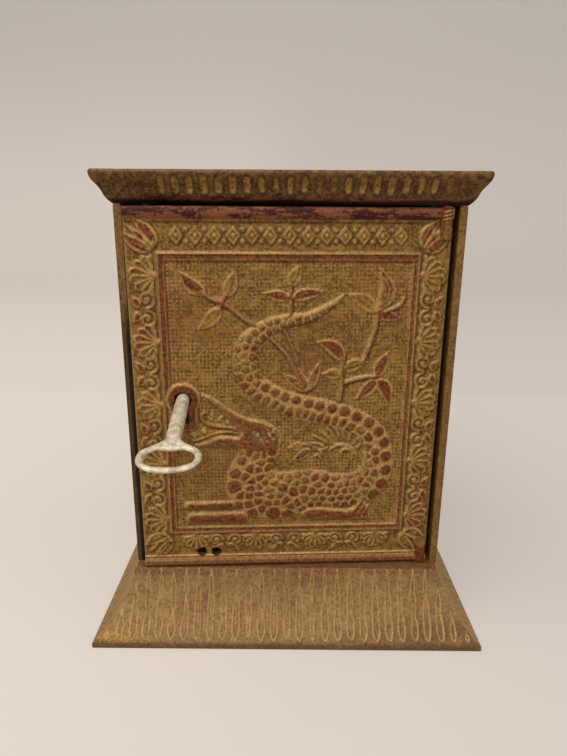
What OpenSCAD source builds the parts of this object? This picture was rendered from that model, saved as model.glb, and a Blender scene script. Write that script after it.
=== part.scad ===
// Cast iron safe bank: a toy money box of five plates clamped between a flared base and a cap,
// with a hinged front door, a keyed turn latch and a coin slot in the top.
// Millimetres. +X is to the right, +Y to the back, +Z up. The origin is the centre of the foot.
// At rest the door stands ajar by door_ajar, and the key is in the lock, turned to the open position.

/* [Base] */
// Width of the foot
base_w = 117; // [110:1:130]
// Depth of the foot
base_d = 117; // [110:1:130]
// Height of the deck that the walls stand on
deck_h = 20.4; // [16:0.2:26]
// Thickness of the deck
deck_t = 3; // [2.8:0.1:4.5]
// Thickness of the sloping skirt
skirt_t = 3; // [2:0.1:4]
// Height of the square lip round the foot
lip_h = 2; // [1:0.1:4]
// How far the skirt's slope curves in from a straight line
slope_sag = 2.2; // [1:0.1:3]
// Ledge of the deck in front of the walls and behind them
ledge = 4; // [3.5:0.1:6]
// Distance between the flutes on the skirt
flute_pitch = 3.9; // [3.6:0.1:6]
// Width of a flute near its lower end
flute_w = 2; // [1.4:0.1:2.6]
// Depth of the flutes
flute_sink = 0.4; // [0.2:0.1:0.6]

/* [Walls] */
// Width over the side walls
body_w = 94.2; // [90:0.2:100]
// Depth of the side walls
body_d = 86.2; // [80:0.2:92]
// Height from the deck to the underside of the cap
body_h = 108.2; // [100:0.2:120]
// Thickness of each wall
wall_t = 2.1; // [1.9:0.1:3]
// Gap between the top of a wall and the cap
wall_top_gap = 0.5; // [0.2:0.1:0.8]
// Length of each tenon along its wall
tenon_l = 12; // [6:1:20]
// Height of the tenons at a wall's lower and upper edges
tenon_h = 2.4; // [1.6:0.1:2.6]
// Width of the plain frame round each wall's sunk panel
wall_frame = 8; // [5:0.5:14]
// Depth of the sunk panels
panel_sink = 0.5; // [0.2:0.1:0.8]
// Width of the beads round each sunk panel
panel_bead = 1.6; // [1:0.1:3]

/* [Cap] */
// Height of the cap
cap_h = 8.4; // [7:0.2:12]
// How far the cap's top edge overhangs the walls
cap_over = 4.5; // [3:0.1:6]
// Thickness of the cap's top plate
cap_plate_t = 2.2; // [1.8:0.1:3]
// Thickness of the cap's rim at the bottom
cap_rim_t = 3.4; // [3.2:0.1:4.5]
// Length of the coin slot
slot_l = 36; // [30:1:40]
// Width of the coin slot
slot_w = 4.8; // [4.5:0.1:5.5]
// Width of the raised border of the coin slot
slot_border = 2.4; // [1.5:0.1:4]

/* [Door] */
// Thickness of the door over its mouldings
door_t = 3; // [2.6:0.1:3.4]
// How far the door's mouldings stand above its ground
relief_h = 0.9; // [0.5:0.1:1.2]
// Gap between the door's latch side and the left wall
door_gap_left = 0.95; // [0.6:0.05:1.2]
// Gap between the door's hinge side and the right wall
door_gap_right = 1.25; // [1:0.05:1.6]
// Gap above the door
door_gap_top = 0.5; // [0.3:0.1:0.9]
// Gap under the door
door_gap_bottom = 0.5; // [0.3:0.1:0.9]
// Angle by which the door stands open at rest
door_ajar = 3; // [2:0.1:10]
// Height of the bead along the door's top edge
top_bead_h = 3.2; // [2:0.1:5]
// Height of the bead along the door's bottom edge
bottom_bead_h = 2.3; // [1.5:0.1:4]
// Height of the band between the top bead and the frame
frieze_h = 8.6; // [6:0.2:12]
// Width of the border between the frame and the door's other edges
border_w = 8.2; // [6:0.2:10]
// Width of the frame moulding round the picture
frame_w = 2.3; // [1.5:0.1:3.5]
// How far the picture's figures stand above the door's ground
picture_h = 0.7; // [0.3:0.1:0.8]
// Diameter of the two drilled holes near the door's bottom edge
drill_d = 2.7; // [1.5:0.1:3]
// Distance between the drilled holes
drill_pitch = 4.4; // [4:0.1:6]
// Distance from the door's latch side to the first drilled hole
drill_inset = 17.6; // [14:0.2:24]
// Height of the drilled holes above the door's bottom edge
drill_rise = 4.6; // [3.5:0.1:6]

/* [Hinge] */
// Distance of the hinge axis from the door's hinge side
hinge_inset = 1.9; // [1.7:0.1:2.2]
// Diameter of the hinge pins
pin_d = 2.2; // [1.6:0.1:2.4]
// Radial clearance of a hinge pin in the deck and in the cap
pin_clear = 0.06; // [0.02:0.01:0.1]
// Height of the round lug that holds a hinge pin
lug_h = 9; // [6:0.5:14]
// How far the round lugs stand past the door's edges
lug_past = 0.4; // [0.1:0.05:0.4]
// Length of a hinge pin inside the deck or the cap
pin_reach = 2.6; // [2:0.1:2.7]

/* [Lock] */
// Distance of the keyhole from the door's latch side
key_inset = 13.8; // [13:0.1:16]
// Height of the keyhole above the door's bottom edge
key_rise = 54.2; // [40:0.1:70]
// Diameter of the keyhole's round part
keyhole_d = 4.9; // [4.7:0.1:5.4]
// Width of the keyhole's slot
keyhole_slot_w = 3.2; // [2.8:0.1:4]
// Depth of the keyhole's slot below its centre
keyhole_slot_drop = 7.2; // [6.8:0.1:8]
// Width of the raised rim round the keyhole
keyhole_rim_w = 1.6; // [1:0.1:2.4]
// Radius of the latch's bore that the key passes through
hub_bore_r = 2.9; // [2.8:0.1:3.2]
// Radius of the latch's hub
hub_r = 8.4; // [8.2:0.1:9.2]
// Reach of the latch's tongue from the keyhole's centre
tongue_r = 13.1; // [12.5:0.1:13.3]
// Width of the tongue
tongue_w = 4.4; // [3:0.1:6]
// Thickness of the tongue and the hub
tongue_t = 1.4; // [1:0.1:1.6]
// Radius of the collars that the latch turns on
collar_r = 4.6; // [4.3:0.1:5]
// Radial clearance of the latch's collar in the bridge
collar_clear = 0.06; // [0.02:0.01:0.1]
// Thickness of the keeper that the tongue catches behind
keeper_t = 1; // [0.8:0.1:1.2]
// How far the keeper stands in from the left wall
keeper_w = 4; // [3:0.1:5]
// Height of the keeper
keeper_h = 20; // [12:1:40]
// Width of the stop rib that runs up the left wall
stop_w = 1.8; // [1:0.1:2.5]
// Width of the bridge over the latch
bridge_w = 13; // [12:0.5:16]
// Thickness of the bridge
bridge_t = 1.2; // [0.8:0.1:2]
// Distance of the bridge from the back of the door
bridge_rise = 4.1; // [4:0.1:5]
// Height of each foot of the bridge
foot_h = 5; // [4.5:0.5:8]
// Thickness of the leaf spring
leaf_t = 0.4; // [0.3:0.05:0.6]
// Width of the leaf spring
leaf_w = 6; // [4:0.5:8]
// Diameter of the lock screws
lock_screw_d = 1.8; // [1.4:0.1:2.2]

/* [Key] */
// Diameter of the key's shank
shank_d = 4; // [3.6:0.1:4.2]
// Distance from the door's middle to the key's shoulder
shank_out = 21.7; // [16:0.1:28]
// Diameter of the key's tip
key_tip_d = 3.4; // [2.8:0.1:3.4]
// Distance that the key reaches behind the door's middle
key_in = 6.3; // [5.5:0.1:6.6]
// Reach of the key's bit from its axis
bit_r = 6.5; // [5.8:0.1:6.5]
// Thickness of the key's bit
bit_t = 2.2; // [1.6:0.1:2.2]
// Length of the key's bit along the shank
bit_l = 2.5; // [2:0.1:2.5]
// Width of the key's shoulder, where the bow's neck begins
shoulder_w = 6; // [4.5:0.5:7]
// Length of the neck between the shoulder and the bow
neck_l = 3.7; // [3:0.1:6]
// Width of the key's bow
bow_w = 15.8; // [14:0.1:22]
// Length of the key's bow along the shank
bow_l = 12; // [11:0.5:16]
// Width of the bow's band
bow_band = 1.8; // [1.6:0.1:3]
// Thickness of the bow
bow_t = 1.5; // [1.3:0.1:3]
// Angle by which the loose key droops in the keyhole
key_droop = 8.5; // [0:0.5:8.5]

/* [Screws] */
// Diameter of the long screws that clamp the cap to the base
tie_d = 3; // [2.4:0.1:3.4]
// Diameter of the long screws' heads
tie_head_d = 6; // [5:0.1:7]
// Height of the long screws' heads
tie_head_h = 2; // [1.5:0.1:3]
// Distance of a long screw's axis from the inside of a side wall
tie_inset = 4.4; // [3.8:0.1:6]
// Distance of a long screw's axis from the front or back edge of a side wall
tie_setback = 10; // [9:0.5:16]
// How far a long screw reaches into its boss in the cap
tie_grip = 5; // [3:0.1:5.4]
// Wall of each round boss in the cap
boss_wall = 1.7; // [1.2:0.1:2.5]

/* [Hidden] */
$fn = 64;
// Extra length of a cut past the face that it opens
cut = 1;
// Clearance of a fixed piece in its seat
seat = 0.15;
// Clearance between pieces that slide past each other
slide = 0.2;
// Clearance of the latch's collars from the door and of the hub's rim from the bridge
end_gap = 0.1;
// Clearance between the hub's rim and the leaf spring that rubs on it
rub_gap = 0.05;
// Clearance round the loose key's bit in the hub's slot
bit_slack = 0.8;
// Clearance of the bridge's feet from the spring above the hub and from the tongue's sweep
foot_gap = 0.5;
sweep_gap = 1.1;
// Radial clearance of a long screw in its blind hole
thread_gap = 0.01;
bronze = [0.5, 0.38, 0.2];
dark_iron = [0.2, 0.17, 0.15];
steel = [0.55, 0.54, 0.52];
pale_metal = [0.78, 0.75, 0.68];

// Places worked out from the sizes above
deck_d = body_d + 2 * ledge;
wall_h = body_h - wall_top_gap;
cap_z = deck_h + body_h;
top_z = cap_z + cap_h;
inner_x = body_w / 2 - wall_t;
front_y = -body_d / 2;
back_inner_y = body_d / 2 - wall_t;
tenon_t = 0.6 * wall_t;
tenon_y = body_d / 4;
tie_x = inner_x - tie_inset;
tie_y = body_d / 2 - tie_setback;
boss_r = tie_d / 2 + boss_wall;

door_x0 = -inner_x + door_gap_left;
door_x1 = inner_x - door_gap_right;
door_z0 = deck_h + door_gap_bottom;
door_z1 = cap_z - door_gap_top;
door_mid_y = front_y + door_t / 2;
door_back_y = front_y + door_t;
ground_y = front_y + relief_h;
hinge_x = door_x1 - hinge_inset;
lug_r = hinge_inset;
frame_x0 = door_x0 + border_w;
frame_x1 = door_x1 - border_w;
frame_z0 = door_z0 + bottom_bead_h + border_w;
frame_z1 = door_z1 - top_bead_h - frieze_h;

key_x = door_x0 + key_inset;
key_z = door_z0 + key_rise;
keeper_y = door_back_y + slide;
tongue_y = keeper_y + keeper_t + slide;
bit_start = door_t / 2 + slide + end_gap;
hub_slot_w = bit_t + 2 * bit_slack;
hub_slot_r = bit_r + 0.6 * bit_slack;
leaf_z = hub_r + rub_gap;
upper_foot_z = leaf_z + leaf_t + foot_gap;
lower_foot_z = -tongue_r - sweep_gap;
screw_bite = 0.75 * (door_t - relief_h);
bow_y = -(shank_out + neck_l + bow_l / 2);

// The picture on the door, in X and Z from the frame's middle: a scaly dragon among leaves.
// Each point of a ribbon is [x, z, half width].
dragon_body = [[15, 31, 0.3], [11, 27.9, 0.9], [5.2, 24.7, 1.5], [0.2, 24, 1.8], [-4.6, 22.5, 2.3],
    [-9, 20, 2.7], [-12.1, 16.8, 3], [-12.7, 12.5, 3.4], [-11.4, 7.6, 3.5], [-6.9, 3, 3.6],
    [-0.3, -0.5, 3.7], [6.5, -2.2, 3.9], [13.5, -4, 3.9], [20, -6.7, 4], [25, -11, 4.2],
    [27, -16.3, 4.1], [26.5, -21.7, 4.8], [22.8, -26.8, 5.5], [14.5, -28.4, 5.6], [7, -27.5, 6.4],
    [0, -29.4, 7.3], [-7, -29.4, 7.8]];
dragon_neck = [[-10.6, -28.6, 8.3], [-11, -23.5, 6.6], [-9.9, -18.5, 5.5], [-8.6, -14.5, 6.2]];
dragon_head = [[-25, 3.2], [-21.5, 1.7], [-18, -1], [-15, -3], [-12, -4.5], [-9, -5.1], [-6, -5.9],
    [-3.6, -7.4], [-2.2, -9.5], [-1.9, -12.5], [-3, -15.2], [-15.2, -14.2], [-20, -13.9], [-27, -13.7],
    [-28, -12.8], [-25, -12], [-22.8, -11], [-20.5, -10], [-18, -10.1], [-15, -10.4], [-13.9, -9],
    [-15.3, -7.7], [-17.5, -5.2], [-20.8, -1.5], [-23.3, 0.3], [-25.4, 2]];
dragon_tongue = [[-15, -8.3, 0.5], [-20, -7.6, 0.5], [-23.6, -6.3, 0.5], [-25.5, -4, 0.5],
    [-24.4, -2.6, 0.4]];
dragon_legs = [[[-30, -32.7, 1.3], [-17, -32.6, 1.3]], [[-28.8, -37, 1.7], [-14, -36.7, 1.8]]];
dragon_hind_leg = [[3.5, -35.5], [6, -33.8], [12, -33.8], [18, -34.8], [20, -33.8], [22.8, -31], [25, -34],
    [25.3, -38.3], [20, -38.3], [8, -38.2], [4, -37.2]];
stems = [[[-9.5, 22.6, 0.5], [-13, 24.6, 0.6], [-16, 27.2, 0.7], [-18.5, 28.6, 0.8], [-21.6, 29.9, 0.5],
        [-23.4, 31.4, 0.4]],
    [[-18.3, 28.6, 0.5], [-17.8, 31, 0.4]],
    [[-5, 18.5, 0.5], [-1.5, 15, 0.6], [1, 11, 0.6], [4.8, 3.2, 0.5]],
    [[14.6, 0.5, 0.7], [15.2, 5, 0.6], [15, 9, 0.6], [15.6, 12.6, 0.5]],
    [[15.4, 5.6, 0.6], [20.5, 7, 0.6], [25.4, 7.6, 0.5]],
    [[20.8, 11.6, 0.5], [22.8, 17, 0.6], [24.2, 22, 0.6], [24.6, 26, 0.5]],
    [[24.4, 25.6, 0.5], [28.6, 26.9, 0.5], [31.4, 29.6, 0.4]],
    [[0.3, 25.6, 0.5], [0.3, 33.8, 0.4]]];
// Each leaf is its base, its tip and its half width
leaves = [[[-23, 31], [-30.2, 37.4], 1.7], [[-17.6, 30.4], [-15, 37.4], 1.7],
    [[-19, 27.4], [-25.4, 21.2], 1.7], [[4.9, 3.2], [-2, 8.4], 1.3], [[5.3, 3.2], [2.6, 10.2], 1.2],
    [[6, 3.6], [9, 12.2], 1.2],
    [[15, 8.3], [9.2, 8.3], 1.2], [[15.5, 12], [7.6, 17.8], 2], [[15.4, 9.4], [22.3, 11.7], 1.6],
    [[24.8, 7.6], [28, 14.4], 1.8], [[25.6, 6.9], [28.8, -1], 2], [[25, 6.6], [19.4, 0.8], 1.8],
    [[24.2, 26], [16, 30.8], 1.9], [[24.8, 26.4], [24.4, 38], 2.4], [[25.2, 25.4], [31, 24.6], 1.2],
    [[-0.2, 33.4], [2.9, 39.2], 1.6], [[0, 30.4], [-7.2, 31.4], 1.4], [[0.6, 30.2], [9.6, 31.8], 1.5],
    [[4.5, -13.2], [-0.4, -14.4], 1.3], [[6.4, -14.4], [1.4, -18.2], 1.3]];

// Places pieces that swing with the door
module on_door() {
    translate([hinge_x, door_mid_y, 0]) rotate([0, 0, door_ajar]) translate([-hinge_x, -door_mid_y, 0])
        children();
}

// Places pieces by the keyhole: y = 0 is the door's middle, z = 0 the keyhole's centre
module at_keyhole() {
    on_door() translate([key_x, door_mid_y, key_z]) children();
}

// Extrudes an outline in X and Z towards the front, from depth y by height h
module forward(y, h) {
    translate([0, y, 0]) rotate([90, 0, 0]) linear_extrude(h) children();
}

// A closed ring between a rectangle and the same rectangle made smaller by w all round
module frame_outline(x0, x1, z0, z1, w) {
    difference() {
        translate([x0, z0]) square([x1 - x0, z1 - z0]);
        translate([x0 + w, z0 + w]) square([x1 - x0 - 2 * w, z1 - z0 - 2 * w]);
    }
}

// The skirt's slope is an arc through the deck's edge and the lip's top edge.
// Its radius and centre come from the half widths of the foot and of the deck.
function slope_chord(foot, deck) = norm([foot - deck, deck_h - lip_h]);
function slope_r(foot, deck) = pow(slope_chord(foot, deck), 2) / (8 * slope_sag) + slope_sag / 2;
function slope_centre(foot, deck) = [foot + deck, deck_h + lip_h] / 2
    + [deck_h - lip_h, foot - deck] / slope_chord(foot, deck) * (slope_r(foot, deck) - slope_sag);
// Height of the slope at a half width x
function slope_z(x, foot, deck) = let (r = slope_r(foot, deck), c = slope_centre(foot, deck))
    c[1] - sqrt(max(0, r * r - pow(c[0] - x, 2)));

// The skirt's outline
module skirt_outline(foot, deck, inset, low, high) {
    centre = slope_centre(foot, deck);
    difference() {
        translate([inset - foot, low]) square([2 * (foot - inset), high - low]);
        for (side = [-1, 1]) translate([side * centre[0], centre[1]]) circle(slope_r(foot, deck) + inset);
    }
}

// Outlines of the flutes on one slope: pointed at the top, round at the bottom, shorter at the corners
module flute_outlines(foot, deck) {
    low = lip_h + 0.7 * flute_w;
    last = floor((foot - 2 * flute_w) / flute_pitch);
    for (i = [-last:last]) {
        x = i * flute_pitch;
        top = min(deck_h - flute_w, slope_z(max(deck, abs(x) + 0.9 * flute_w), foot, deck));
        if (top > low + flute_w) translate([x, 0]) {
            half = [[0, top], [0.32 * flute_w, top - 0.3 * (top - low)], [flute_w / 2, low + 0.7 * flute_w],
                [0.42 * flute_w, low + 0.25 * flute_w]];
            other = [for (k = [len(half) - 1:-1:1]) [-half[k][0], half[k][1]]];
            polygon(concat(half, [[0.2 * flute_w, low], [-0.2 * flute_w, low]], other));
        }
    }
}

// The flutes' prisms in the four slopes
module flutes() {
    difference() {
        union() {
            rotate([90, 0, 0]) linear_extrude(base_d + cut, center = true)
                flute_outlines(base_w / 2, body_w / 2);
            rotate([90, 0, 90]) linear_extrude(base_w + cut, center = true)
                flute_outlines(base_d / 2, deck_d / 2);
        }
        skirt_solid(flute_sink, -cut, deck_h + cut);
    }
}

// The skirt's solid: where the outline across the width meets the outline across the depth
module skirt_solid(inset, low, high) {
    intersection() {
        rotate([90, 0, 0]) linear_extrude(base_d + cut, center = true)
            skirt_outline(base_w / 2, body_w / 2, inset, low, high);
        rotate([90, 0, 90]) linear_extrude(base_w + cut, center = true)
            skirt_outline(base_d / 2, deck_d / 2, inset, low, high);
    }
}

// Puts children at the four long screws
module at_ties() {
    for (x = [-tie_x, tie_x], y = [-tie_y, tie_y]) translate([x, y, 0]) children();
}

// The tenons of the side walls and the back wall, or their sockets with a clearance c
module tenons(z, h, c) {
    for (side = [-1, 1], y = [-tenon_y, tenon_y])
        translate([side * (inner_x + tenon_t / 2), y, z + h / 2])
            cube([tenon_t + 2 * c, tenon_l + 2 * c, h], center = true);
    for (x = [-body_w / 4, body_w / 4])
        translate([x, back_inner_y + tenon_t / 2, z + h / 2])
            cube([tenon_l + 2 * c, tenon_t + 2 * c, h], center = true);
}

// Flared base: an open-bottomed skirt with a deck
module base() {
    color(bronze) difference() {
        skirt_solid(0, 0, deck_h);
        flutes();
        skirt_solid(skirt_t, -cut, deck_h - deck_t);
        tenons(deck_h - tenon_h - seat, tenon_h + seat + cut, seat);
        at_ties() translate([0, 0, deck_h - deck_t - cut])
            cylinder(d = tie_d + 2 * seat, h = deck_t + 2 * cut);
        translate([hinge_x, door_mid_y, deck_h - pin_reach - seat])
            cylinder(d = pin_d + 2 * pin_clear, h = pin_reach + seat + cut);
    }
}

// One side wall, standing at the right: a plate with a sunk outer panel, four tenons and a back cleat
module side_wall() {
    difference() {
        translate([inner_x, front_y, deck_h]) cube([wall_t, body_d, wall_h]);
        translate([body_w / 2 - panel_sink, 0, deck_h + wall_h / 2]) rotate([90, 0, 90])
            linear_extrude(panel_sink + cut) sunk_panel(body_d, wall_h);
    }
    intersection() {
        tenons(deck_h - tenon_h, 2 * tenon_h + wall_h, 0);
        translate([inner_x, front_y, deck_h - tenon_h]) cube([wall_t, body_d, wall_h + 2 * tenon_h]);
    }
    translate([inner_x - wall_t, back_inner_y - seat - wall_t, deck_h + wall_frame])
        cube([wall_t + panel_sink, wall_t, wall_h - 2 * wall_frame]);
}

// The part of a wall's face that is sunk: a beaded rectangle
module sunk_panel(l, h) {
    x = l / 2 - wall_frame;
    z = h / 2 - wall_frame;
    frame_outline(-x, x, -z, z, panel_bead);
    field_x = x - 2 * panel_bead;
    field_z = z - 2 * panel_bead;
    translate([-field_x, -field_z]) square([2 * field_x, 2 * field_z]);
}

module right_wall() {
    color(bronze) side_wall();
}

// The left wall also carries the door's stop rib and the latch's keeper
module left_wall() {
    color(bronze) mirror([1, 0, 0]) {
        side_wall();
        translate([inner_x - stop_w, keeper_y, deck_h + seat])
            cube([stop_w + panel_sink, keeper_t, wall_h - 2 * seat]);
        translate([inner_x - keeper_w, keeper_y, key_z - keeper_h / 2])
            cube([keeper_w + panel_sink, keeper_t, keeper_h]);
    }
}

// The back wall fits between the side walls
module back_wall() {
    l = 2 * (inner_x - seat);
    color(bronze) {
        difference() {
            translate([-l / 2, back_inner_y, deck_h]) cube([l, wall_t, wall_h]);
            translate([0, body_d / 2 + cut, deck_h + wall_h / 2]) rotate([90, 0, 0])
                linear_extrude(panel_sink + cut) sunk_panel(l, wall_h);
        }
        intersection() {
            tenons(deck_h - tenon_h, 2 * tenon_h + wall_h, 0);
            translate([-l / 2, back_inner_y, deck_h - tenon_h]) cube([l, wall_t, wall_h + 2 * tenon_h]);
        }
    }
}

// Overhang of the cap's moulding at a share u of its height: a nose over a hollow over a quarter round
function cap_overhang(u) = cap_over * (u + 0.1 * sin(180 * u) + 0.05 * sin(540 * u));

// The cap's outline over a half width
module cap_outline(half) {
    steps = 14;
    nose = 0.1 * cap_h;
    side = [for (i = [0:steps]) let (u = i / steps) [half + cap_overhang(u), u * (cap_h - nose)]];
    crown = [[half + cap_over, cap_h - 0.4 * nose], [half + cap_over - 0.6 * nose, cap_h]];
    right = concat(side, crown);
    polygon(concat(right, [for (i = [len(right) - 1:-1:0]) [-right[i][0], right[i][1]]]));
}

// Cap: a moulded cornice, hollow from below, with a coin slot, screw bosses and a hinge boss
module cap() {
    rim_x = body_w / 2 - cap_rim_t;
    rim_y = body_d / 2 - cap_rim_t;
    plate_z = top_z - cap_plate_t;
    color(bronze) difference() {
        union() {
            difference() {
                translate([0, 0, cap_z]) intersection() {
                    rotate([90, 0, 0]) linear_extrude(body_d + 4 * cap_over, center = true)
                        cap_outline(body_w / 2);
                    rotate([90, 0, 90]) linear_extrude(body_w + 4 * cap_over, center = true)
                        cap_outline(body_d / 2);
                }
                translate([-rim_x, -rim_y, cap_z - cut]) cube([2 * rim_x, 2 * rim_y, plate_z - cap_z + cut]);
            }
            at_ties() translate([0, 0, cap_z]) cylinder(r = boss_r, h = cap_h - cap_plate_t / 2);
            translate([hinge_x, door_mid_y, cap_z]) intersection() {
                cylinder(r = pin_d / 2 + boss_wall, h = cap_h - cap_plate_t / 2);
                translate([-boss_r, front_y - door_mid_y, 0]) cube([2 * boss_r, 2 * boss_r, cap_h]);
            }
            translate([0, 0, top_z - cap_plate_t / 2]) linear_extrude(cap_plate_t / 2 + slot_border / 6)
                slot_outline(slot_border);
        }
        translate([0, 0, plate_z - cut]) linear_extrude(cap_plate_t + 2 * cut + slot_border) slot_outline(0);
        tenons(cap_z - cut, tenon_h - wall_top_gap + seat + cut, seat);
        at_ties() translate([0, 0, cap_z - cut]) cylinder(d = tie_d, h = tie_grip + seat + cut);
        translate([hinge_x, door_mid_y, cap_z - cut])
            cylinder(d = pin_d + 2 * pin_clear, h = pin_reach + seat + cut);
    }
}

// The coin slot's outline, grown by a margin m
module slot_outline(m) {
    square([slot_l + 2 * m, slot_w + 2 * m], center = true);
}

// A slotted, domed screw head: its seat is at z = 0, and its slot is in the far end
module screw_head(d, h) {
    dome_r = (d * d / 4 + h * h) / (2 * h);
    difference() {
        intersection() {
            cylinder(d = d, h = h);
            translate([0, 0, h - dome_r]) sphere(dome_r);
        }
        translate([-d / 2 - cut, -d / 12, 0.5 * h]) cube([d + 2 * cut, d / 6, h]);
    }
}

// Four long screws, from under the deck up into the cap's bosses
module tie_screws() {
    under = deck_h - deck_t;
    color(steel) at_ties() {
        translate([0, 0, under]) cylinder(d = tie_d - 2 * thread_gap, h = cap_z + tie_grip - under);
        translate([0, 0, under]) mirror([0, 0, 1]) screw_head(tie_head_d, tie_head_h);
    }
}

// The keyhole's outline, grown by a margin m
module keyhole_outline(m) {
    circle(d = keyhole_d + 2 * m);
    translate([-keyhole_slot_w / 2 - m, -keyhole_slot_drop - m])
        square([keyhole_slot_w + 2 * m, keyhole_slot_drop]);
}

// Points along a smooth curve through the points of a ribbon
function smooth(p, n) = [for (i = [0:len(p) - 2], k = [0:n - 1])
    let (t = k / n, a = p[max(i - 1, 0)], b = p[i], c = p[i + 1], d = p[min(i + 2, len(p) - 1)])
        b + t / 2 * (c - a) + t * t / 2 * (2 * a - 5 * b + 4 * c - d)
            + t * t * t / 2 * (3 * b - a - 3 * c + d),
    p[len(p) - 1]];

// A ribbon of changing width with round ends
module ribbon(p, n = 3) {
    c = smooth(p, n);
    last = len(c) - 1;
    run = [for (i = [0:last]) c[min(i + 1, last)] - c[max(i - 1, 0)]];
    side = [for (i = [0:last]) [-run[i][1], run[i][0]] / norm([run[i][0], run[i][1]]) * c[i][2]];
    left = [for (i = [0:last]) [c[i][0], c[i][1]] + side[i]];
    right = [for (i = [last:-1:0]) [c[i][0], c[i][1]] - side[i]];
    polygon(concat(left, right));
    for (end = [c[0], c[last]]) translate([end[0], end[1]]) circle(0.95 * end[2]);
}

// A pointed leaf from its base to its tip
module leaf(base, tip, w, n = 6) {
    l = norm(tip - base);
    edge = [for (i = [1:n - 1]) [l * i / n, w * sin(180 * pow(i / n, 0.7))]];
    back = [for (i = [n - 2:-1:0]) [edge[i][0], -edge[i][1]]];
    translate(base) rotate(atan2(tip[1] - base[1], tip[0] - base[0]))
        polygon(concat([[0, 0]], edge, [[l, 0]], back));
}

// The picture's outlines, from the frame's middle
module picture() {
    ribbon(dragon_body);
    ribbon(dragon_neck);
    polygon(dragon_head);
    ribbon(dragon_tongue);
    for (leg = dragon_legs) ribbon(leg, 1);
    polygon(dragon_hind_leg);
    for (stem = stems) ribbon(stem);
    for (l = leaves) leaf(l[0], l[1], l[2]);
}

// Outline of everything that stands above the door's ground
module door_mouldings() {
    w = door_x1 - door_x0;
    translate([door_x0, door_z0]) square([w, bottom_bead_h]);
    translate([door_x0, door_z1 - top_bead_h]) square([w, top_bead_h]);
    frame_outline(frame_x0, frame_x1, frame_z0, frame_z1, frame_w);
    translate([key_x, key_z]) keyhole_outline(keyhole_rim_w);
}

// Door: a plate with mouldings in front, round hinge lugs, a keyhole and two small drilled holes
module door() {
    lug_bottom = door_z0 - lug_past;
    lug_top = door_z1 + lug_past;
    color(bronze) on_door() difference() {
        union() {
            translate([door_x0, ground_y, door_z0])
                cube([door_x1 - door_x0, door_back_y - ground_y, door_z1 - door_z0]);
            forward(ground_y + relief_h / 2, 1.5 * relief_h) door_mouldings();
            forward(ground_y + relief_h / 2, picture_h + relief_h / 2)
                translate([frame_x0 + frame_x1, frame_z0 + frame_z1] / 2) picture();
            for (z = [lug_bottom, lug_top - lug_h])
                translate([hinge_x, door_mid_y, z]) cylinder(r = lug_r, h = lug_h);
        }
        forward(door_back_y + cut, door_t + 2 * cut) translate([key_x, key_z]) keyhole_outline(0);
        for (i = [0, 1])
            forward(door_back_y + cut, door_t + 2 * cut)
                translate([door_x0 + drill_inset + i * drill_pitch, door_z0 + drill_rise])
                    circle(d = drill_d);
        for (z = [lug_bottom - cut, lug_top - lug_h])
            translate([hinge_x, door_mid_y, z]) cylinder(d = pin_d, h = lug_h + cut);
        for (z = [upper_foot_z, lower_foot_z - foot_h])
            translate([key_x, door_back_y + cut, key_z + z + foot_h / 2]) rotate([90, 0, 0])
                cylinder(d = lock_screw_d, h = screw_bite + cut);
    }
}

module lower_hinge_pin() {
    color(steel) on_door() translate([hinge_x, door_mid_y, deck_h - pin_reach])
        cylinder(d = pin_d, h = pin_reach + door_gap_bottom - lug_past + lug_h);
}

module upper_hinge_pin() {
    z = door_z1 + lug_past - lug_h;
    color(steel) on_door() translate([hinge_x, door_mid_y, z])
        cylinder(d = pin_d, h = cap_z + pin_reach - z);
}

// Bridge over the latch: a strap on two feet, with a round hole that the latch's collar turns in
module lock_bridge() {
    foot_y = door_t / 2;
    color(dark_iron) at_keyhole() difference() {
        union() {
            translate([-bridge_w / 2, foot_y + bridge_rise, lower_foot_z - foot_h])
                cube([bridge_w, bridge_t, upper_foot_z - lower_foot_z + 2 * foot_h]);
            translate([-bridge_w / 2, foot_y, lower_foot_z - foot_h])
                cube([bridge_w, bridge_rise + bridge_t / 2, foot_h]);
            translate([-bridge_w / 2, foot_y + leaf_t, upper_foot_z])
                cube([bridge_w, bridge_rise + bridge_t / 2 - leaf_t, foot_h]);
        }
        translate([0, foot_y, 0]) rotate([-90, 0, 0])
            cylinder(r = collar_r + collar_clear, h = bridge_rise + bridge_t + cut);
        for (z = [upper_foot_z, lower_foot_z - foot_h])
            translate([0, foot_y - cut, z + foot_h / 2]) rotate([-90, 0, 0])
                cylinder(d = lock_screw_d + 2 * seat, h = bridge_rise + bridge_t + 2 * cut);
    }
}

// Two round-headed screws that hold the bridge to the door
module lock_screws() {
    color(steel) at_keyhole() for (z = [upper_foot_z, lower_foot_z - foot_h])
        translate([0, door_t / 2 + bridge_rise + bridge_t, z + foot_h / 2]) rotate([-90, 0, 0]) {
            screw_head(2.1 * lock_screw_d, 0.65 * lock_screw_d);
            h = bridge_rise + bridge_t + screw_bite - seat;
            translate([0, 0, -h]) cylinder(d = lock_screw_d, h = h);
        }
}

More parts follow.
